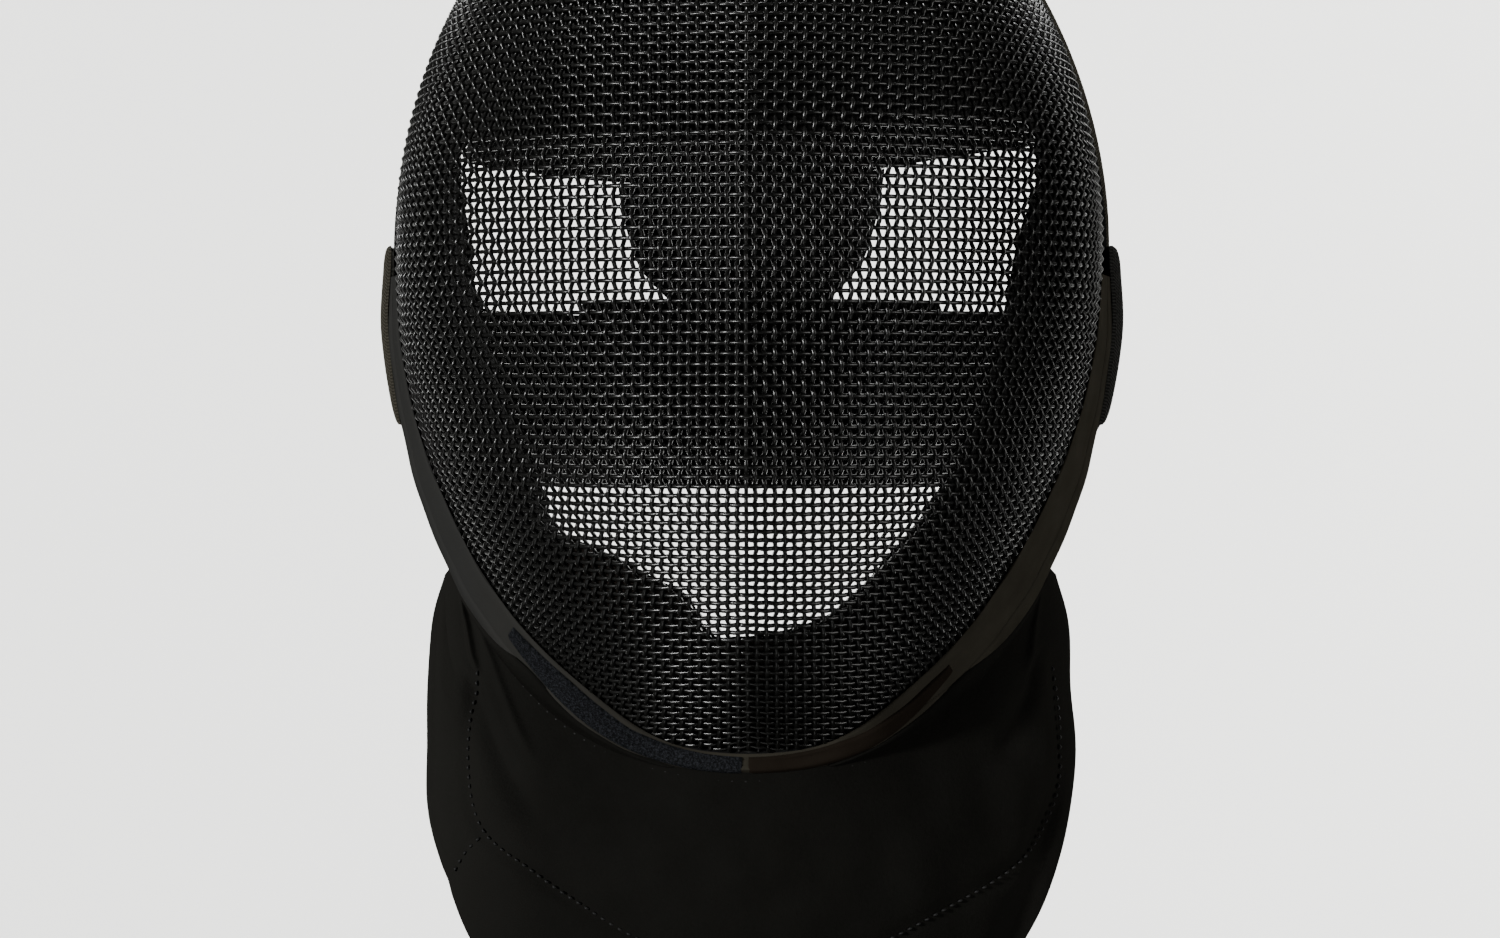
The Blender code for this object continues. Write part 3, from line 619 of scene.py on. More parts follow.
over = 1 - 2 * (np.indices(crossing_inside.shape).sum(axis=0) % 2)
wefts = [crossings, crossing_normals, crossing_inside, WEFT_SWING * over]
warps = [array.swapaxes(0, 1) for array in wefts[:3] + [-WARP_SWING * over]]
for name, net, rows in (("weft_lower", wefts, slice(None, level_row)),
                        ("weft_upper", wefts, slice(level_row, None)),
                        ("warp_right", warps, slice(None, crease_column)),
                        ("warp_left", warps, slice(crease_column, None))):
    wire = wire_tubes(name, *[array[rows] for array in net], enamel.material)
    print(name, "triangles:", sum(len(face.vertices) - 2 for face in wire.data.polygons))

# %% [markdown]
# Everything soft is a wall between two grids of points. The wall stores how far each point lies along
# and across the cloth, in metres, so that weave, ribs and stitches run with the piece and not with the
# room. Edges get their roundness from a share that falls to nothing at the border.

# %% Walls from two grids
SHARP_EDGE = math.radians(50)
NARROWEST_SHEET = 0.010


def point_numbers(points):
    """The number of each point of a grid, row by row."""
    return np.arange(points.size // 3).reshape(points.shape[:-1])


def quads_of(index):
    """Quads between the neighbours in a grid of point numbers."""
    return np.stack([index[:-1, :-1], index[:-1, 1:], index[1:, 1:], index[1:, :-1]], axis=-1).reshape(-1, 4)


def closed_wall(name, outer, inner, slot, material):
    """Two grids of points joined along all four edges, faces out, with the cloth's own lengths stored."""
    index, count = point_numbers(outer), outer.size // 3
    quads = quads_of(index)
    border = np.concatenate([index[0], index[1:, -1], index[-1, -2::-1], index[-2:0:-1, 0]])
    after = np.roll(border, -1)
    sides = np.stack([after, border, border + count, after + count], axis=-1)
    faces = np.concatenate([quads, quads[:, ::-1] + count, sides])
    normal = np.cross(np.gradient(outer, axis=0), np.gradient(outer, axis=1))
    if np.sum(normal * (outer - inner)) > 0:
        faces = faces[:, ::-1]
    along = np.cumsum(length(np.diff(outer, axis=0, prepend=outer[:1])), axis=0)
    across = np.cumsum(length(np.diff(outer, axis=1, prepend=outer[:, :1])), axis=1)
    cloth = np.stack([along - along.mean(), across - across.mean(), 0 * along], axis=-1)
    points = np.concatenate([outer.reshape(-1, 3), inner.reshape(-1, 3)])
    item = new_object(name, points, faces.tolist(), slot, material)
    item.data.set_sharp_from_angle(angle=SHARP_EDGE)
    stored = item.data.attributes.new("cloth", "FLOAT_VECTOR", "POINT")
    stored.data.foreach_set("vector", np.concatenate([cloth.reshape(-1, 3)] * 2).ravel())
    return item


def grid(first, second):
    """Two value lists as a grid of rows and columns."""
    return np.meshgrid(first, second, indexing="ij")


def cut_sheet(piece, face):
    """Measures a sheet's lengths along its own grid, since cloth bends and hardly stretches, and stops there
    for a tape narrower than a centimetre, which is trimming. Nothing is made from the lengths."""
    steps = [np.diff(face, axis=axis) for axis in (0, 1)]
    flat = [float(length(steps[axis]).sum(axis=axis).max()) for axis in (0, 1)]
    if min(flat) < NARROWEST_SHEET:
        return


def eased(count):
    """Values from 0 to 1 that lie closer together near both ends."""
    return 0.5 - 0.5 * np.cos(np.linspace(0, math.pi, count))


def border_round(share, reach):
    """1 inside, and a quarter circle down to 0 within a reach of both ends of a 0 to 1 share."""
    near = np.clip(np.minimum(share, 1 - share) / reach, 0, 1)
    return np.sqrt(1 - (1 - near) ** 2)


def read_mirrored(table, value, index, sign=1):
    """One column of a table that starts at 0, read as a curve that goes on past 0 as its mirror image."""
    places, heights = column(table, 0), column(table, index)
    return smooth_table(value, np.concatenate([-places[:0:-1], places]),
                        np.concatenate([sign * heights[:0:-1], heights]))


# %% [markdown]
# Six cloths cover the soft pieces. Knit has small stitches in columns, twill runs in slanting ribs,
# elastic in straight cords, coated cloth has a faint grain, pile is a tangle of loops, and suede has only
# its nap. Each is a colour with a little variation, a high roughness, and a height for the bump. Coated
# cloth can also carry painted light, lighter on the wearer's right where the key light falls, and suede a
# painted sheen, lighter at both sides. The waves of a weave are counted in radians a metre.

# %% Cloths
KNIT_WAVES = 5700
TWILL_WAVES = 6300
CORD_WAVES = 3900
CROSS_THREAD_WAVES = 9000


def knit(name, dark, light):
    """Fine jersey: rows of small stitches, 1.1 mm apart."""
    cloth = Finish(name, Specular_IOR_Level=0.0)
    along, across = cloth.lengths()
    loops = (along * KNIT_WAVES).sine() * (across * KNIT_WAVES).sine()
    return cloth.cover(cloth.mix(cloth.noise(160, detail=4), dark, light), cloth.noise(500) * 0.2 + 0.75,
                       loops * 0.5 + cloth.noise(900, detail=3), strength=0.6, distance=0.0006)


def twill(name, dark, light):
    """Slanting ribs, 1 mm apart."""
    cloth = Finish(name, Specular_IOR_Level=0.02)
    along, across = cloth.lengths()
    ribs = ((along + across) * TWILL_WAVES).sine() + (across * 2 * TWILL_WAVES).sine() * 0.4
    return cloth.cover(cloth.mix((ribs * 0.5 + 0.5).clamp(), dark, light), cloth.noise(500) * 0.15 + 0.7,
                       ribs * 0.5 + cloth.noise(1200), strength=0.7, distance=0.0005)


def elastic(name, dark, light):
    """Cords along the strap, 1.6 mm apart, with fine cross threads."""
    cloth = Finish(name, Specular_IOR_Level=0.02)
    along, across = cloth.lengths()
    cords = (across * CORD_WAVES).sine().size() ** 0.5
    cross_threads = (along * CROSS_THREAD_WAVES).sine() * 0.3
    return cloth.cover(cloth.mix(cloth.noise(300, detail=4), dark, light), cloth.noise(500) * 0.15 + 0.72,
                       cords + cross_threads, strength=0.6, distance=0.0006)


def coated(name, dark, light, lighter=None):
    """Smooth coated cloth with a faint grain and, where asked, painted light: lighter towards the wearer's
    right, the side the key light falls on.
    """
    cloth = Finish(name, Specular_IOR_Level=0.0)
    colour = cloth.mix(cloth.noise(90, detail=5), dark, light)
    if lighter:
        # Painted light: the colour goes lighter towards the wearer's right, where the key light falls.
        colour = cloth.mix((cloth.sideways() * -12.0).clamp(), colour, lighter)
    return cloth.cover(colour, cloth.noise(300, detail=3) * 0.25 + 0.5,
                       cloth.noise(1500, detail=4), strength=0.25, distance=0.0004)


def pile(name, dark, light):
    """Hook-and-loop pile: a tangle of fine loops, with lighter specks."""
    cloth = Finish(name, Specular_IOR_Level=0.0)
    tangle = cloth.noise(1500, detail=5, roughness=0.8)
    return cloth.cover(cloth.mix(((tangle - 0.45) * 5).clamp(), dark, light), 0.9,
                       tangle + cloth.noise(600, detail=3), strength=0.9, distance=0.0012)


def suede(name, dark, light, painted_sheen):
    """Napped leather: a soft mottled black without specular shine, with a painted sheen that makes it
    lighter at both sides, where the suede turns sideways to the light.
    """
    cloth = Finish(name, Specular_IOR_Level=0.0)
    mottle = cloth.noise(28, detail=6, roughness=0.65)
    # Painted sheen: the colour goes lighter at both sides of the mask, as if light grazed the suede there.
    sheen_at_sides = (cloth.sideways().size() * 20 - 1.2).clamp()
    return cloth.cover(cloth.mix(sheen_at_sides, cloth.mix(mottle, dark, light), painted_sheen),
                       cloth.noise(400, detail=3) * 0.15 + 0.83,
                       cloth.noise(700, detail=8, roughness=0.75), strength=0.5, distance=0.0007)


black_elastic = elastic("black_elastic", (0.008, 0.008, 0.008), (0.016, 0.016, 0.016))
black_twill = twill("black_twill", (0.028, 0.026, 0.020), (0.064, 0.059, 0.047))
grey_knit = knit("grey_knit", (0.015, 0.015, 0.015), (0.031, 0.031, 0.030))
black_knit = knit("black_knit", (0.010, 0.010, 0.010), (0.02, 0.02, 0.02))
brown_knit = knit("brown_knit", (0.012, 0.010, 0.009), (0.026, 0.02, 0.017))
smooth_binding = coated("smooth_binding", (0.004, 0.004, 0.004), (0.010, 0.010, 0.010))
# The collar's lighter colour is painted light on the side the key light falls on.
smooth_collar = coated("smooth_collar", (0.018, 0.0165, 0.0125), (0.035, 0.032, 0.0255),
                       lighter=(0.022, 0.022, 0.021))
# The last colour of black_suede is a painted sheen at the sides, not a colour the suede has.
black_suede = suede("black_suede", (0.0038, 0.0037, 0.0033), (0.0092, 0.0090, 0.0080),
                    painted_sheen=(0.0135, 0.0132, 0.0118))
grey_twill = twill("grey_twill", (0.018, 0.018, 0.017), (0.050, 0.050, 0.047))
hook_pile = pile("hook_pile", (0.007, 0.0075, 0.008), (0.034, 0.036, 0.042))
brown_tape = coated("brown_tape", (0.0075, 0.0058, 0.0042), (0.014, 0.011, 0.0085))
print("cloths ready")

# %% [markdown]
# The rim is bound: a bead of smooth tape covers the wires' ends, and a strip of twill lies on its rear
# half. On the wearer's left the strip stands out a little, which the photo shows as a grey edge.

# %% Bound rim
TRIM_OUTER = 0.0024
TRIM_INNER = 0.0040
TRIM_WIDTH = 0.0080
TRIM_LAP = 0.0025
TRIM_CORNER = 3.0
TRIM_GROOVE = 0.0009
STRIP_WIDTH = 0.0070
STRIP_PLY = 0.0012
STRIP_STAND_OUT = 0.0009
STRIP_BEHIND = 0.0010
STRIP_PAST_EAR = 0.1
RIM_COLUMNS = 300
BEAD_SIDES = 18


def ring_wall(name, loops, slot, material):
    """Cross-sections joined into one closed ring."""
    quads = quads_of(np.pad(point_numbers(loops), (0, 1), mode="wrap"))
    item = new_object(name, loops.reshape(-1, 3), quads.tolist(), slot, material)
    work = bmesh.new()
    work.from_mesh(item.data)
    bmesh.ops.recalc_face_normals(work, faces=work.faces)
    work.to_mesh(item.data)
    work.free()


def make_binding():
    """The bead: a rounded section from just over the mesh to TRIM_WIDTH past the rim."""
    turn = np.linspace(0, 2 * math.pi, BEAD_SIDES, endpoint=False)
    backwards, outwards = superellipse(turn, TRIM_CORNER)
    half_run = (TRIM_WIDTH + FIT + TRIM_LAP) / 2
    run = TRIM_LAP - half_run + half_run * backwards
    angle, run = grid(np.linspace(0, 2 * math.pi, RIM_COLUMNS, endpoint=False), run)
    groove = TRIM_GROOVE * np.clip(3 * np.sin(angle), 0, 1)
    height = (TRIM_OUTER - TRIM_INNER) / 2 + (TRIM_OUTER + TRIM_INNER) / 2 * outwards
    loops = skin_offset(angle, run, height - groove * np.clip(outwards, 0, 1))
    ring_wall("rim_binding", loops, "rim_trim", smooth_binding)


def make_edge_strip():
    """The twill strip on the back half of the bead, over the crown from ear to ear."""
    angle, share = grid(np.linspace(-STRIP_PAST_EAR, math.pi + STRIP_PAST_EAR, RIM_COLUMNS), eased(12))
    run = STRIP_WIDTH * share - FIT - TRIM_WIDTH - STRIP_BEHIND
    base = TRIM_OUTER - STRIP_PLY + STRIP_STAND_OUT * np.clip(np.cos(angle), -0.2, 1)
    outer = skin_offset(angle, run, base + STRIP_PLY * border_round(share, 0.2))
    inner = skin_offset(angle, run, base - TRIM_GROOVE)
    strip = closed_wall("edge_strip", outer, inner, "rim_trim", black_twill)
    cut_sheet(strip, outer)


make_binding()
make_edge_strip()
print("rim bound")

# %% [markdown]
# The collar band covers the lower rim from ear to ear. It is smooth coated cloth in two plies: the lower
# one reaches forward over the mesh, widest at the jaw and almost nothing at the chin, and the upper one is
# folded over it along the rim.

# %% Collar band
BAND_PLY = 0.0018
BAND_FRONT = 0.0440
BAND_BACK = 0.0100
BAND_TURN = math.radians(86)
BAND_FADE = math.radians(9)
BAND_CLIMB = 0.9
FOLD_SHARE = 0.42
BAND_RIPPLE = 0.0002
BAND_EDGE = 0.25

# Share of BAND_TURN from the chin to the ear, share of BAND_FRONT on the wearer's right, the same on the
# wearer's left, share of BAND_BACK
BAND_REACH = [(0.00, 0.06, 0.06, 0.16), (0.15, 0.08, 0.08, 0.20), (0.32, 0.31, 0.33, 0.60),
              (0.45, 0.47, 0.53, 0.92), (0.58, 0.66, 0.77, 1.00), (0.70, 0.86, 0.97, 1.00),
              (0.82, 0.86, 1.00, 1.00), (1.00, 0.66, 0.90, 1.00)]


def from_chin(angle):
    """How far round the rim an angle lies from the chin, on either side."""
    return np.abs((angle + math.pi * 3 / 2) % (2 * math.pi) - math.pi)


def band_reach(angle):
    """The band's reach over the mesh and past the rim at an angle, wider on the wearer's left."""
    turned = np.clip(from_chin(angle) / BAND_TURN, 0, 1)
    right, left, back = [read_mirrored(BAND_REACH, turned, index) for index in (1, 2, 3)]
    return BAND_FRONT * np.where(np.cos(angle) < 0, right, left), BAND_BACK * back


def band_base(angle, run):
    """Height of the band's inner face off the shell: it climbs from the mesh over the bead."""
    front, _ = band_reach(angle)
    climb = np.clip((BAND_CLIMB * front - run) / ((2 * BAND_CLIMB - 1) * front), 0, 1)
    return FIT + TRIM_OUTER * climb * climb * (3 - 2 * climb)


def band_ply(angle):
    """Thickness of the band: it thins out at its ends, under the ear tabs."""
    left = np.clip((BAND_TURN + BAND_FADE / 3 - from_chin(angle)) / BAND_FADE, 0, 1)
    return BAND_PLY * left * left * (3 - 2 * left)


def make_band(name, first_share, last_share, low, high):
    """One ply, between two shares of the band's width and two of its thickness, with rounded edges."""
    turn = BAND_TURN * np.linspace(1, -1, 240)
    angle, share = grid(turn - math.pi / 2, eased(16))
    front, back = band_reach(angle)
    run = front - (front + back) * (first_share + (last_share - first_share) * share)
    base = band_base(angle, run)
    ripple = BAND_RIPPLE * np.sin(angle * 37) * np.sin(angle * 11)
    plump = low + (high - low) * (BAND_EDGE + (1 - BAND_EDGE) * border_round(share, 0.12))
    outer = skin_offset(angle, run, base + band_ply(angle) * plump + ripple)
    inner = skin_offset(angle, run, base + band_ply(angle) * low)
    band = closed_wall(name, outer, inner, "collar_band", smooth_collar)
    cut_sheet(band, outer)


make_band("collar_band_lower", 0.0, 1.0, 0.0, 0.6)
make_band("collar_band_upper", FOLD_SHARE, 1.0, 0.5, 1.1)
print("collar band in two plies")

# %% [markdown]
# Narrow strips lie on the band round the jaw. On the wearer's right a strip of hook-and-loop pile shows
# between the mesh and the suede, on the left a brownish tape, and the suede of the bib laps up over the
# band beside both of them. Each strip has one table of its two edges along a stretch of the rim.

# %% Strips on the band
STRIP_LIFT = 0.0014
LAP_LIFT = 0.0018
PILE_PLY = 0.0009
TAPE_PLY = 0.0008
LAP_PLY = 0.0011
STRIP_SINK = 0.0004

# Degrees from the chin towards the wearer's left, run of the front edge and of the rear edge in metres
PILE_EDGES = [(-41, 0.0200, 0.0150), (-34, 0.0168, 0.0086), (-28, 0.0128, 0.0042), (-18, 0.0056, 0.0000),
              (-9, 0.0030, -0.0014), (-1, 0.0024, -0.0014)]
TAPE_EDGES = [(0, 0.0024, -0.0014), (8, 0.0028, -0.0016), (16, 0.0042, -0.0006), (24, 0.0084, 0.0036),
              (34, 0.0160, 0.0130)]
LAP_EDGES_RIGHT = [(-52, -0.0080, -0.0101), (-46, 0.0020, -0.0097), (-37, 0.0085, -0.0086),
                   (-28, 0.0030, -0.0062), (-18, -0.0006, -0.0030), (-11, -0.0014, -0.0021)]
LAP_EDGES_LEFT = [(12, -0.0013, -0.0022), (20, 0.0012, -0.0036), (28, 0.0050, -0.0062),
                  (37, 0.0085, -0.0086), (46, 0.0020, -0.0097), (52, -0.0080, -0.0101)]


def band_strip(name, edges, lift, ply, material):
    """A strip on top of the band's outer face, between two edges given by tables."""
    places = column(edges, 0)
    turned, share = grid(np.linspace(places[0], places[-1], 160), eased(14))
    front, rear = read(edges, turned), read(edges, turned, 2)
    angle = np.radians(turned) - math.pi / 2
    run = front + (rear - front) * share
    base = band_base(angle, run) + lift
    ends = border_round((turned - places[0]) / (places[-1] - places[0]), 0.03)
    outer = skin_offset(angle, run, base + ply * (0.2 + 0.8 * border_round(share, 0.15) * ends))
    strip = closed_wall(name, outer, skin_offset(angle, run, base - STRIP_SINK), "collar_band", material)
    cut_sheet(strip, outer)


band_strip("pile_strip", PILE_EDGES, STRIP_LIFT, PILE_PLY, hook_pile)
band_strip("chin_tape", TAPE_EDGES, STRIP_LIFT, TAPE_PLY, brown_tape)
band_strip("suede_lap_right", LAP_EDGES_RIGHT, LAP_LIFT, LAP_PLY, black_suede)
band_strip("suede_lap_left", LAP_EDGES_LEFT, LAP_LIFT, LAP_PLY, black_suede)
print("strips on the band: pile, tape and two laps of suede")

# %% [markdown]
# The bib is one piece of suede that hangs from the collar band. Its surface runs from the band's edge to
# the free edge, bowed out, with the few large folds of the photo laid on top. A seam runs round it in a U
# and pulls the suede in, and the nap's small waves are a sum of slow ripples.

# %% Bib
BIB_WALL = 0.0024
BIB_HALF_WIDTH = 0.0975
BIB_DROP = 0.106
BIB_FRONT_DEPTH = 0.086
BIB_REAR_DEPTH = 0.152
BIB_SPREAD = math.radians(53)
BIB_BOW = 0.0058
SEAM_DEPTH = 0.0011
SEAM_WIDTH = 0.0030
SEAM_SINK = 0.6
HEM_REACH = 0.01
HEM_EDGE = 0.35
NAP_WAVES = (0.047, 0.034, 0.026, 0.061, 0.019, 0.023, 0.038)
NAP_HEIGHT = 0.0014

# Share of the way round, shares of BIB_HALF_WIDTH and of BIB_DROP below the chin, share of the way back
BIB_EDGE = [(0.00, 0.00, 1.00, 0.00), (0.18, 0.36, 0.93, 0.07), (0.34, 0.65, 0.74, 0.20),
            (0.50, 0.86, 0.48, 0.38), (0.66, 0.97, 0.20, 0.60), (0.80, 1.00, -0.06, 0.80),
            (0.92, 0.975, -0.36, 0.94), (1.00, 0.945, -0.50, 1.00)]
# Start round the bib, start down it, end round, end down, height and half-width as shares of BIB_DROP
BIB_FOLDS = [(-0.80, 0.30, -0.42, 0.42, -0.024, 0.070), (-0.88, 0.45, -0.62, 0.95, 0.016, 0.090),
             (0.84, 0.30, 0.60, 0.38, -0.020, 0.070), (0.70, 0.78, 0.36, 0.98, -0.018, 0.080)]
# Creases in the suede, with the same columns
BIB_CREASES = [(-0.92, 0.10, -0.77, 0.24, 0.014, 0.020), (-0.86, 0.04, -0.52, 0.24, 0.010, 0.024),
               (0.92, 0.14, 0.72, 0.34, 0.010, 0.030)]
# Places on the bib: round it and down it
U_SEAM = [(-0.78, 0.20), (-0.74, 0.36), (-0.70, 0.44), (-0.65, 0.54), (-0.60, 0.61), (-0.55, 0.632),
          (-0.50, 0.605), (-0.43, 0.56), (-0.33, 0.535), (-0.22, 0.54), (0.00, 0.56), (0.22, 0.58),
          (0.36, 0.61), (0.46, 0.68), (0.60, 0.82), (0.68, 0.85), (0.73, 0.77), (0.78, 0.68), (0.84, 0.50)]
SIDE_SEAM = [(-0.545, 0.646), (-0.56, 0.78), (-0.565, 0.88), (-0.57, 0.97)]
COLLAR_SEAM = [(-0.80, 0.035), (-0.60, 0.035), (-0.34, 0.035), (-0.17, 0.035), (0.00, 0.035), (0.15, 0.030),
               (0.36, 0.035)]


def fold_height(around, down, folds):
    """Sum of a list of folds: each a smooth ridge that fades at both ends of its run."""
    total = np.zeros_like(around)
    for start_round, start_down, end_round, end_down, height, half_width in folds:
        run = np.array([end_round - start_round, end_down - start_down])
        along = ((around - start_round) * run[0] + (down - start_down) * run[1]) / np.dot(run, run)
        away = np.hypot(around - start_round - along * run[0], down - start_down - along * run[1])
        fade = np.clip(along * (1 - along) * 6, 0, 1)
        total += height * BIB_DROP * fade * np.exp(-(away / half_width) ** 2)
    return total


def bib_place(around, down):
    """Bib surface: from the collar's edge to the free edge, bowed out, with the folds on top."""
    angle = -math.pi / 2 + around * BIB_SPREAD
    _, back = band_reach(angle)
    top = skin_offset(angle, -back + BIB_WALL / 3,
                      np.full(angle.shape, FIT + TRIM_OUTER + BAND_PLY / 2))
    width = read_mirrored(BIB_EDGE, around, 1, -1) * BIB_HALF_WIDTH
    below = read_mirrored(BIB_EDGE, around, 2) * BIB_DROP
    backward = read_mirrored(BIB_EDGE, around, 3)
    depth = BIB_FRONT_DEPTH + (BIB_REAR_DEPTH - BIB_FRONT_DEPTH) * backward
    edge = to_frame(np.stack([width, depth, -JAW_DROP - below], axis=-1))
    flat = top * (1 - down)[..., None] + edge * down[..., None]
    outward = np.stack([np.sin(around * 1.2), -np.cos(around * 1.2), 0 * around], axis=-1)
    bow = np.sin(math.pi * down) * BIB_BOW * (1 - around ** 4)
    return flat + outward * (bow + fold_height(around, down, BIB_FOLDS))[..., None]


def run_along(line):
    """Distance of each place of a line from its start, along the line."""
    return np.concatenate([[0], np.cumsum(length(np.diff(line, axis=0)))])


def at_runs(runs, run, values):
    """Values of a line at given distances along it."""
    return np.stack([np.interp(runs, run, values[:, axis]) for axis in range(3)], axis=-1)


def seam_line(table, count):
    """Evenly spaced places on a smooth line through a table's places, in space."""
    number = np.arange(len(table), dtype=float)
    fine = np.linspace(0, len(table) - 1, 30 * len(table))
    around = smooth_table(fine, number, column(table, 0))
    down = smooth_table(fine, number, column(table, 1))
    place = bib_place(around, down)
    run = run_along(place)
    return at_runs(np.linspace(0, run[-1], count), run, place)


def nearest(points, line):
    """Distance from each point to the nearest place of a line."""
    best = np.full(points.shape[:-1], 1.0)
    for place in line:
        best = np.minimum(best, length(points - place))
    return best


def ripples(points, lengths, height):
    """Slow random-looking waves: sines in turned directions, added up."""
    total = np.zeros(points.shape[:-1])
    for number, wave in enumerate(lengths):
        turn = 2.4 * number
        way = np.array([math.cos(turn), 0.5 * math.sin(1.7 * turn), math.sin(turn)])
        total += np.sin(points @ way * 2 * math.pi / wave + number)
    return total * height / len(lengths)


def make_bib():
    """The suede with its seams, waves and a soft edge."""
    around, down = grid(np.linspace(-1, 1, 241), np.linspace(0, 1, 121))
    outer = bib_place(around, down)
    normal = unit(np.cross(np.gradient(outer, axis=0), np.gradient(outer, axis=1)))
    normal *= -np.sign(normal[120, 60, 1])
    pull = -SEAM_DEPTH * np.exp(-(nearest(outer, seam_line(U_SEAM, 260)) / SEAM_WIDTH) ** 2)
    pull -= SEAM_SINK * SEAM_DEPTH * np.exp(-(nearest(outer, seam_line(SIDE_SEAM, 60)) / SEAM_WIDTH) ** 2)
    waves = ripples(outer, NAP_WAVES, NAP_HEIGHT)
    hem = border_round(0.5 + 0.5 * np.abs(around), HEM_REACH) * border_round(0.5 + 0.5 * down, HEM_REACH)
    creases = fold_height(around, down, BIB_CREASES)
    face = outer + normal * (pull + creases + waves * np.minimum(1, 4 * down))[..., None]
    back = face - normal * (BIB_WALL * (HEM_EDGE + (1 - HEM_EDGE) * hem))[..., None]
    return closed_wall("suede_bib", face, back, "bib", black_suede), face


bib, bib_face = make_bib()

# %% [markdown]
# Stitches are real thread: short tubes that dip in at both ends, one after the other along a seam.

# %% Stitches
THREAD = 0.00040
THREAD_SIDES = 6
SHORT_STITCH = 0.0015
LONG_STITCH = 0.0024
LONG_STITCH_GAP = 0.0016


thread_finish = Finish("thread", Base_Color=(0.009, 0.009, 0.009), Roughness=0.6, Specular_IOR_Level=0.2)


def seam_stitches(name, table, stitch, gap):
    """Bent tubes along a seam of the bib, of one length and with even gaps."""
    line = seam_line(table, 400)
    normal = unit(np.stack([line[:, 0] * 8, -np.ones(len(line)), 0 * line[:, 0]], axis=-1))
    line = line - normal * SEAM_SINK * SEAM_DEPTH
    run = run_along(line)
    share = np.linspace(0, 1, 5)
    at = np.arange(gap, run[-1] - stitch, stitch + gap)[:, None] + stitch * share[None, :]
    centre, up = at_runs(at, run, line), at_runs(at, run, normal)
    centre = centre + up * (THREAD * 1.2 * np.sin(math.pi * share) - THREAD * 0.4)[None, :, None]
    side = unit(np.cross(centre[:, -1:] - centre[:, :1], up))
    turn = np.linspace(0, 2 * math.pi, THREAD_SIDES, endpoint=False)[:, None]
    slim = (0.55 + 0.45 * np.sin(math.pi * share))[None, :, None, None]
    ring = THREAD * slim * (np.cos(turn) * up[:, :, None, :] + np.sin(turn) * side[:, :, None, :])
    points = centre[:, :, None, :] + ring
    index = point_numbers(points)
    beside = np.roll(index, -1, axis=2)
    quads = np.stack([index[:, :-1], beside[:, :-1], beside[:, 1:], index[:, 1:]], axis=-1).reshape(-1, 4)
    faces = quads.tolist() + index[:, 0, ::-1].tolist() + index[:, -1].tolist()
    return new_object(name, points.reshape(-1, 3), faces, "bib", thread_finish.material)


threads = [seam_stitches("u_seam_stitches", U_SEAM, SHORT_STITCH, SHORT_STITCH),
           seam_stitches("side_seam_stitches", SIDE_SEAM, SHORT_STITCH, SHORT_STITCH),
           seam_stitches("collar_stitches", COLLAR_SEAM, LONG_STITCH, LONG_STITCH_GAP)]
cut_sheet(bib, bib_face)
print("bib sewn")

# %% [markdown]
# At each ear the strap's end is sewn down as a soft patch. The strap itself is wide elastic that loops
# behind the head, with a wider overlap in the middle.

# %% Ear tabs and strap
TAB_PLY = 0.0028
TAB_EDGE = 0.3
TAB_FULLNESS_LEFT = 1.15
TAB_FULLNESS_RIGHT = 0.75
TAB_FRONT = 0.0100
TAB_BACK = 0.0160
STRAP_WIDTH = 0.0525
STRAP_PLY = 0.0024
STRAP_EAR_DROP = 0.0276
STRAP_NAPE_DROP = 0.0471
STRAP_LEVEL_POWER = 8
STRAP_PINCH = 0.0035
STRAP_PINCH_POWER = 4
KEEPER_HALF_LENGTH = 0.0515
KEEPER_SHIFT = 0.0025
KEEPER_WIDTH = 0.0567
KEEPER_PLY = 0.0030
NAPE_DEPTH = 0.210
NAPE_NARROWING = 0.5
NAPE_NARROWING_POWER = 2.4
NAPE_CROWN_POWER = 2.2


def make_ear_tab(name, slot, centre_angle, upwards, fullness, material):
    """The patch over the band: full in its upper half, thinning out downwards."""
    spread = math.asin(STRAP_WIDTH / 2 / JAW_DROP)
    round_rim, backwards = np.linspace(-1, 1, 60), eased(30)
    angle, run = grid(centre_angle + spread * round_rim, TAB_FRONT - (TAB_FRONT + TAB_BACK) * backwards)
    height = round_rim[:, None] * upwards
    along = np.linspace(-1, 1, 30)[None, :]
    taper = 1 - 0.5 * np.clip(-height, 0, 1) ** 1.5
    crown = taper * border_round(0.5 + 0.5 * height, 0.12) * border_round(0.5 + 0.5 * along, 0.12)
    base = band_base(angle, run) + band_ply(angle) + FIT
    inner = skin_offset(angle, run, base)
    outer = skin_offset(angle, run, base + TAB_PLY * fullness * (TAB_EDGE + (1 - TAB_EDGE) * crown))
    closed_wall(name, outer, inner, slot, material)


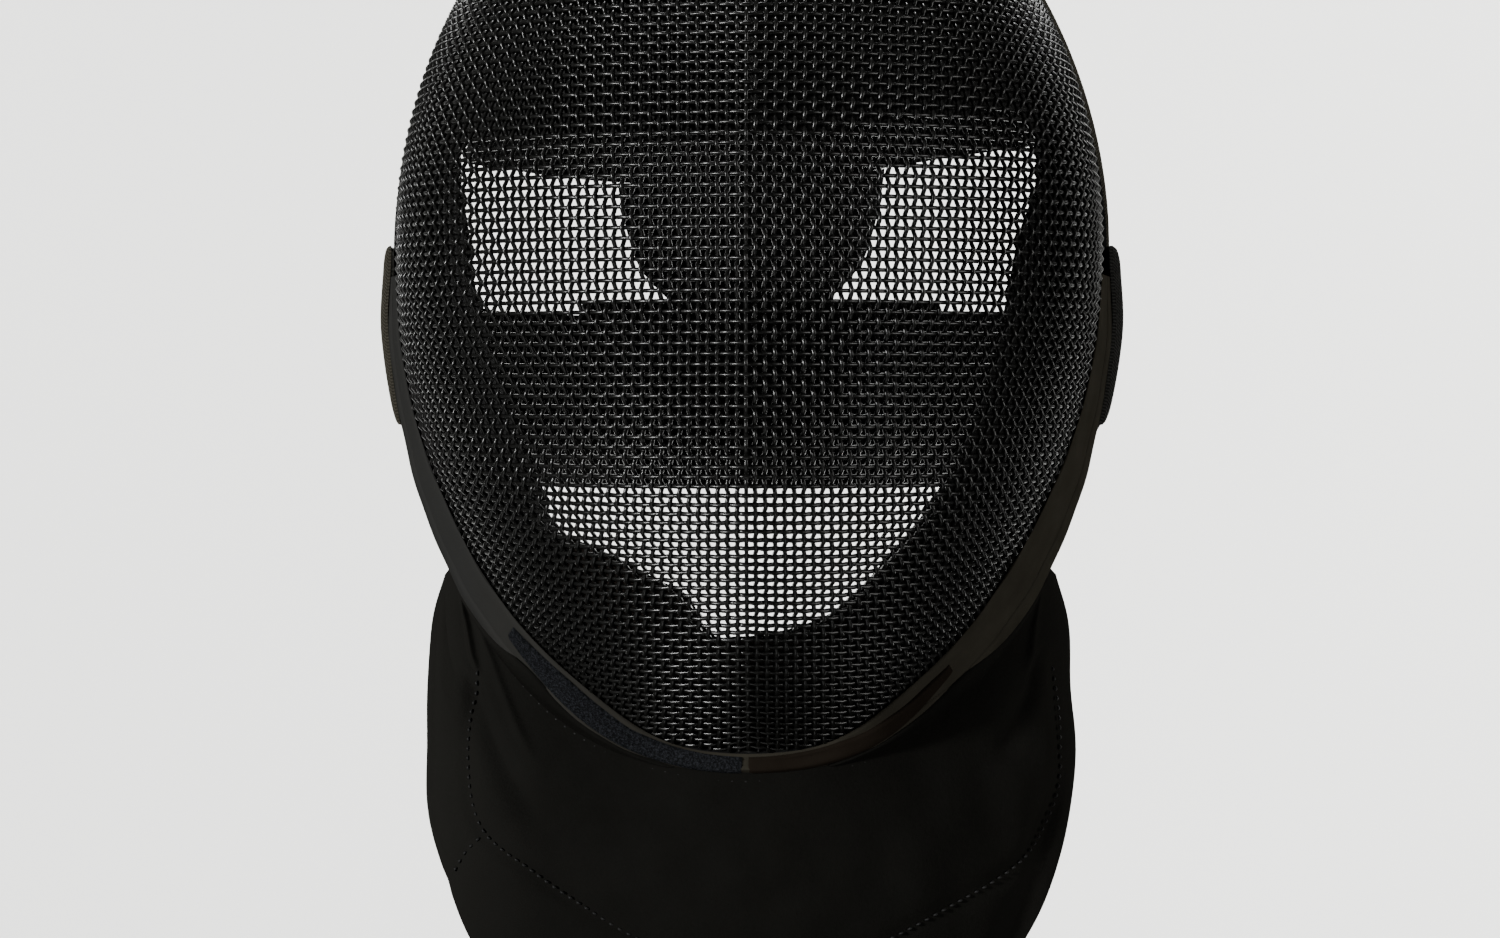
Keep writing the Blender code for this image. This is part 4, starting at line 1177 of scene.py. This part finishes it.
def strap_loop(theta, height, offset):
    """Half an ellipse behind the head, which follows the rim's outline at the ears and dips behind."""
    level = height - STRAP_EAR_DROP
    start = rim_depth(level) + TAB_BACK + FIT
    outline = np.clip(-level / JAW_DROP, 0, 1) ** OUTLINE_POWER_BELOW
    pinch = STRAP_PINCH * np.clip(2 * height / STRAP_WIDTH, 0, 1) ** STRAP_PINCH_POWER
    narrowing = RIM_HALF_WIDTH * (1 - (1 - outline) ** (1 / OUTLINE_POWER_BELOW)) + pinch
    near_ear = np.abs(np.sin(theta)) ** STRAP_LEVEL_POWER
    middle = 2 * FIT + TRIM_OUTER + BAND_PLY + TAB_PLY / 2
    half = RIM_HALF_WIDTH + middle - STRAP_PLY / 2 + offset - narrowing * near_ear
    back = NAPE_DEPTH + FIT + offset
    drop = STRAP_NAPE_DROP - (STRAP_NAPE_DROP - STRAP_EAR_DROP) * near_ear
    depth = start + (back - start) * np.cos(theta)
    return to_frame(np.stack([half * np.sin(theta), depth, height - drop], axis=-1))


def strap_wall(name, slot, first, last, bottom, top, lift, ply, rests_on):
    """A flat stretch of the loop, with rounded long edges."""
    theta, share = grid(np.linspace(first, last, 160), eased(24))
    height = bottom + (top - bottom) * share
    plump = ply * (0.4 + 0.6 * border_round(share, 0.05))
    inner = strap_loop(theta, height, lift + 0 * theta)
    outer = strap_loop(theta, height, lift + plump)
    cut_sheet(closed_wall(name, outer, inner, slot, black_elastic), outer)


tab_angle = math.asin(STRAP_EAR_DROP / JAW_DROP)
make_ear_tab("ear_patch_left", "ear_tab_left", -tab_angle, 1, TAB_FULLNESS_LEFT, grey_twill)
make_ear_tab("ear_patch_right", "ear_tab_right", math.pi + tab_angle, -1, TAB_FULLNESS_RIGHT,
             black_twill)
strap_wall("elastic_strap", "back_strap", -math.pi / 2, math.pi / 2, -STRAP_WIDTH / 2, STRAP_WIDTH / 2,
           0.0, STRAP_PLY, ["ear_tab_left", "ear_tab_right"])
keeper_ends = [math.asin((KEEPER_SHIFT + side * KEEPER_HALF_LENGTH) / (RIM_HALF_WIDTH + STRAP_PLY))
               for side in (-1, 1)]
strap_wall("strap_overlap", "strap_keeper", *keeper_ends, -STRAP_WIDTH / 2,
           KEEPER_WIDTH - STRAP_WIDTH / 2, STRAP_PLY + FIT, KEEPER_PLY, ["back_strap"])
print("strap and tabs")

# %% [markdown]
# Behind the head hang a padded panel and a round tongue. They are the same wall again, plump in the
# middle and thin at the hem.

# %% Rear padding
REAR_PAD_THICKNESS = 0.008
REAR_PAD_HALF_WIDTH = 0.088
REAR_PAD_TURN = math.radians(36)
REAR_PAD_BOW = 0.027
TONGUE_THICKNESS = 0.008
TONGUE_HALF_WIDTH = 0.0415
TONGUE_LENGTH = 0.056
PAD_EDGE = 0.0016

# Share of REAR_PAD_HALF_WIDTH across, share of DOME_RISE above the widest level
REAR_PAD_HEM = [(-1.00, 0.188), (-0.47, 0.151), (0.00, 0.152), (0.30, 0.166), (0.52, 0.189),
                (0.75, 0.210), (1.00, 0.228)]
# Share of TONGUE_LENGTH downwards, share of TONGUE_HALF_WIDTH
TONGUE_OUTLINE = [(0.00, 1.000), (0.15, 0.965), (0.31, 0.910), (0.50, 0.805), (0.61, 0.670), (0.72, 0.500),
                  (0.86, 0.300), (1.00, 0.120)]


def rear_pad_hem(across):
    """Level of the rear pad's lower edge at a distance across."""
    return DOME_RISE * read(REAR_PAD_HEM, across / REAR_PAD_HALF_WIDTH)


def nape_place(across_share, level, offset):
    """The back of the head: level arcs that close the rim, domed towards the crown."""
    above = np.clip(level / DOME_RISE, 0, 1)
    half = RIM_HALF_WIDTH * (1 - NAPE_NARROWING * above ** NAPE_NARROWING_POWER)
    crown = above ** NAPE_CROWN_POWER
    rim = rim_depth(level)
    back = NAPE_DEPTH - (NAPE_DEPTH - CROWN_DEPTH - TRIM_WIDTH) * crown + offset
    depth = rim + (back - rim) * np.sqrt(1 - across_share ** 2)
    return np.stack([(half + offset) * across_share, depth, level], axis=-1)


def make_rear_pad():
    """The padded panel from the crown rim down to its hem."""
    columns, rows = 121, 61
    across, down = np.linspace(-1, 1, columns), eased(rows)
    faces = []
    for side in (-1, 1):
        side_shape = np.sqrt(np.clip(1 - across[:, None] ** 6, 0, 1))
        puff = (REAR_PAD_THICKNESS - 2 * PAD_EDGE) * side_shape * np.sin(math.pi * down)[None, :] ** 0.4
        angle = math.pi / 2 - across * REAR_PAD_TURN
        seat = (TRIM_OUTER - TRIM_INNER) / 2 + side * PAD_EDGE / 2
        top = skin_offset(angle, np.full(columns, -TRIM_WIDTH - 2 * FIT), np.full(columns, seat))
        spread = across * REAR_PAD_HALF_WIDTH / RIM_HALF_WIDTH
        bottom = to_frame(nape_place(spread, rear_pad_hem(across * REAR_PAD_HALF_WIDTH),
                                     np.full(columns, side * PAD_EDGE / 2)))
        weight = (down ** 1.1)[None, :, None]
        straight = top[:, None, :] * (1 - weight) + bottom[:, None, :] * weight
        away = np.stack([0.25 * across, 0.85 + 0 * across, 0.55 - 0.25 * across ** 2], axis=-1)
        bow = REAR_PAD_BOW * np.sin(math.pi * down)[None, :]
        lift = bow * (1 - 0.55 * across[:, None] ** 2) + side * puff / 2
        faces.append(straight + away[:, None, :] * lift[..., None])
    closed_wall("rear_panel", faces[1], faces[0], "rear_pad", black_knit)


def make_tongue():
    """The padded tongue under the panel."""
    down, across = eased(49), np.linspace(-1, 1, 41)
    half = TONGUE_HALF_WIDTH * read(TONGUE_OUTLINE, down)
    place = half[:, None] / RIM_HALF_WIDTH * across[None, :]
    top = rear_pad_hem(TONGUE_HALF_WIDTH * across) - FIT
    bottom = DOME_RISE * REAR_PAD_HEM[2][1] - TONGUE_LENGTH
    levels = top[None, :] + (bottom - top)[None, :] * down[:, None]
    puff = np.sqrt(np.clip(1 - across[None, :] ** 4, 0, 1)) * np.sqrt(np.clip(1 - down[:, None] ** 8, 0, 1))
    rear = nape_place(place, levels, 0 * place)
    front = rear - np.array([0, 1, 0]) * (PAD_EDGE + (TONGUE_THICKNESS - PAD_EDGE) * puff)[..., None]
    tongue = closed_wall("padded_tongue", to_frame(rear), to_frame(front), "back_tongue", black_knit)


make_rear_pad()
make_tongue()
print("rear padding")

# %% [markdown]
# The lining shows through the mesh: grey knit over the forehead, black at the cheeks, brownish at the
# chin. Each pad lies against the wires, and its front edge follows what the photo shows, level over the
# eyes and in a point at the chin.

# %% Lining
MESH_WALL = 0.002
LINING_GAP = 0.0008
FOREHEAD_THICKNESS = 0.010
CHEEK_THICKNESS = 0.015
CHIN_THICKNESS = 0.009
PAD_SPLIT_TOP = math.radians(15)
PAD_SPLIT_JAW = math.radians(-50)
PAD_TUCK = math.radians(1.2)
CHEEK_SINK = 0.0003
CHIN_SINK = 0.0006

# Angle round the rim in degrees, share of the way out to the rim
LINING_EDGE = [(-180, 0.800), (-172, 0.785), (-168, 0.765), (-154, 0.735), (-141, 0.745), (-134, 0.775),
               (-129, 0.748), (-122, 0.720), (-112, 0.712), (-103, 0.730), (-99, 0.780), (-92, 0.785),
               (-79, 0.775), (-69, 0.764), (-58, 0.732), (-48, 0.722), (-30, 0.722), (-12, 0.745),
               (0, 0.780), (9, 0.845), (15, 0.850), (18, 0.820), (24, 0.620), (31, 0.455), (48, 0.278),
               (68, 0.232), (90, 0.205), (119, 0.222), (137, 0.285), (149, 0.385), (157, 0.515),
               (162, 0.655), (165, 0.815), (169, 0.850), (174, 0.825), (180, 0.800)]


def shell_offset(angle, cup, offset):
    """A point off the shell by angle and cup."""
    normal = normals_of(shell_place, angle, np.clip(cup, RIM_STEP, 1 - RIM_STEP), CUP_STEPS)
    return to_frame(shell_place(angle, cup) + normal * np.asarray(offset)[..., None])


def lining_edge_cup(angle):
    """Cup value of the lining's front edge."""
    _, up, _ = outline_direction(angle)
    out = read(LINING_EDGE, (np.degrees(angle) + 180) % 360 - 180)
    reach_up = np.where(up >= 0, DOME_RISE, JAW_DROP)
    return (1 - out ** 2) ** (1 / roundness(up * reach_up))


def make_lining(name, slot, first, last, around, thickness, material, sink=0.0):
    """A pad behind the mesh from the rim forward to the lining's edge, thickest near the rim."""
    angles, share = np.linspace(first, last, around), eased(33)
    angle = np.broadcast_to(angles[:, None], (around, len(share)))
    cup = lining_edge_cup(angles)[:, None] * share[None, :]
    ends = np.linspace(-1, 1, around)[:, None]
    puff = np.sqrt(np.clip(1 - np.abs(ends) ** 10, 0, 1)) * (1 - share[None, :] ** 2.5) ** 0.7
    puff = puff * np.minimum(1, 0.55 + 3 * share[None, :])
    back = -MESH_WALL - LINING_GAP - sink
    outer = shell_offset(angle, cup, np.full(angle.shape, back))
    inner = shell_offset(angle, cup, back - PAD_EDGE - (thickness - PAD_EDGE) * puff)
    closed_wall(name, outer, inner, slot, material)


make_lining("forehead_lining", "forehead_pad", PAD_SPLIT_TOP, math.pi - PAD_SPLIT_TOP, 181,
            FOREHEAD_THICKNESS, grey_knit)
make_lining("cheek_lining_left", "cheek_pad_left", PAD_SPLIT_JAW, PAD_SPLIT_TOP + PAD_TUCK, 91,
            CHEEK_THICKNESS, black_knit, sink=CHEEK_SINK)
make_lining("cheek_lining_right", "cheek_pad_right", math.pi - PAD_SPLIT_TOP - PAD_TUCK,
            math.pi - PAD_SPLIT_JAW, 91, CHEEK_THICKNESS, black_knit, sink=CHEEK_SINK)
make_lining("chin_lining", "chin_pad", -math.pi - PAD_SPLIT_JAW - PAD_TUCK, PAD_SPLIT_JAW + PAD_TUCK, 121,
            CHIN_THICKNESS, brown_knit, sink=CHIN_SINK)
print("lining in four pads")
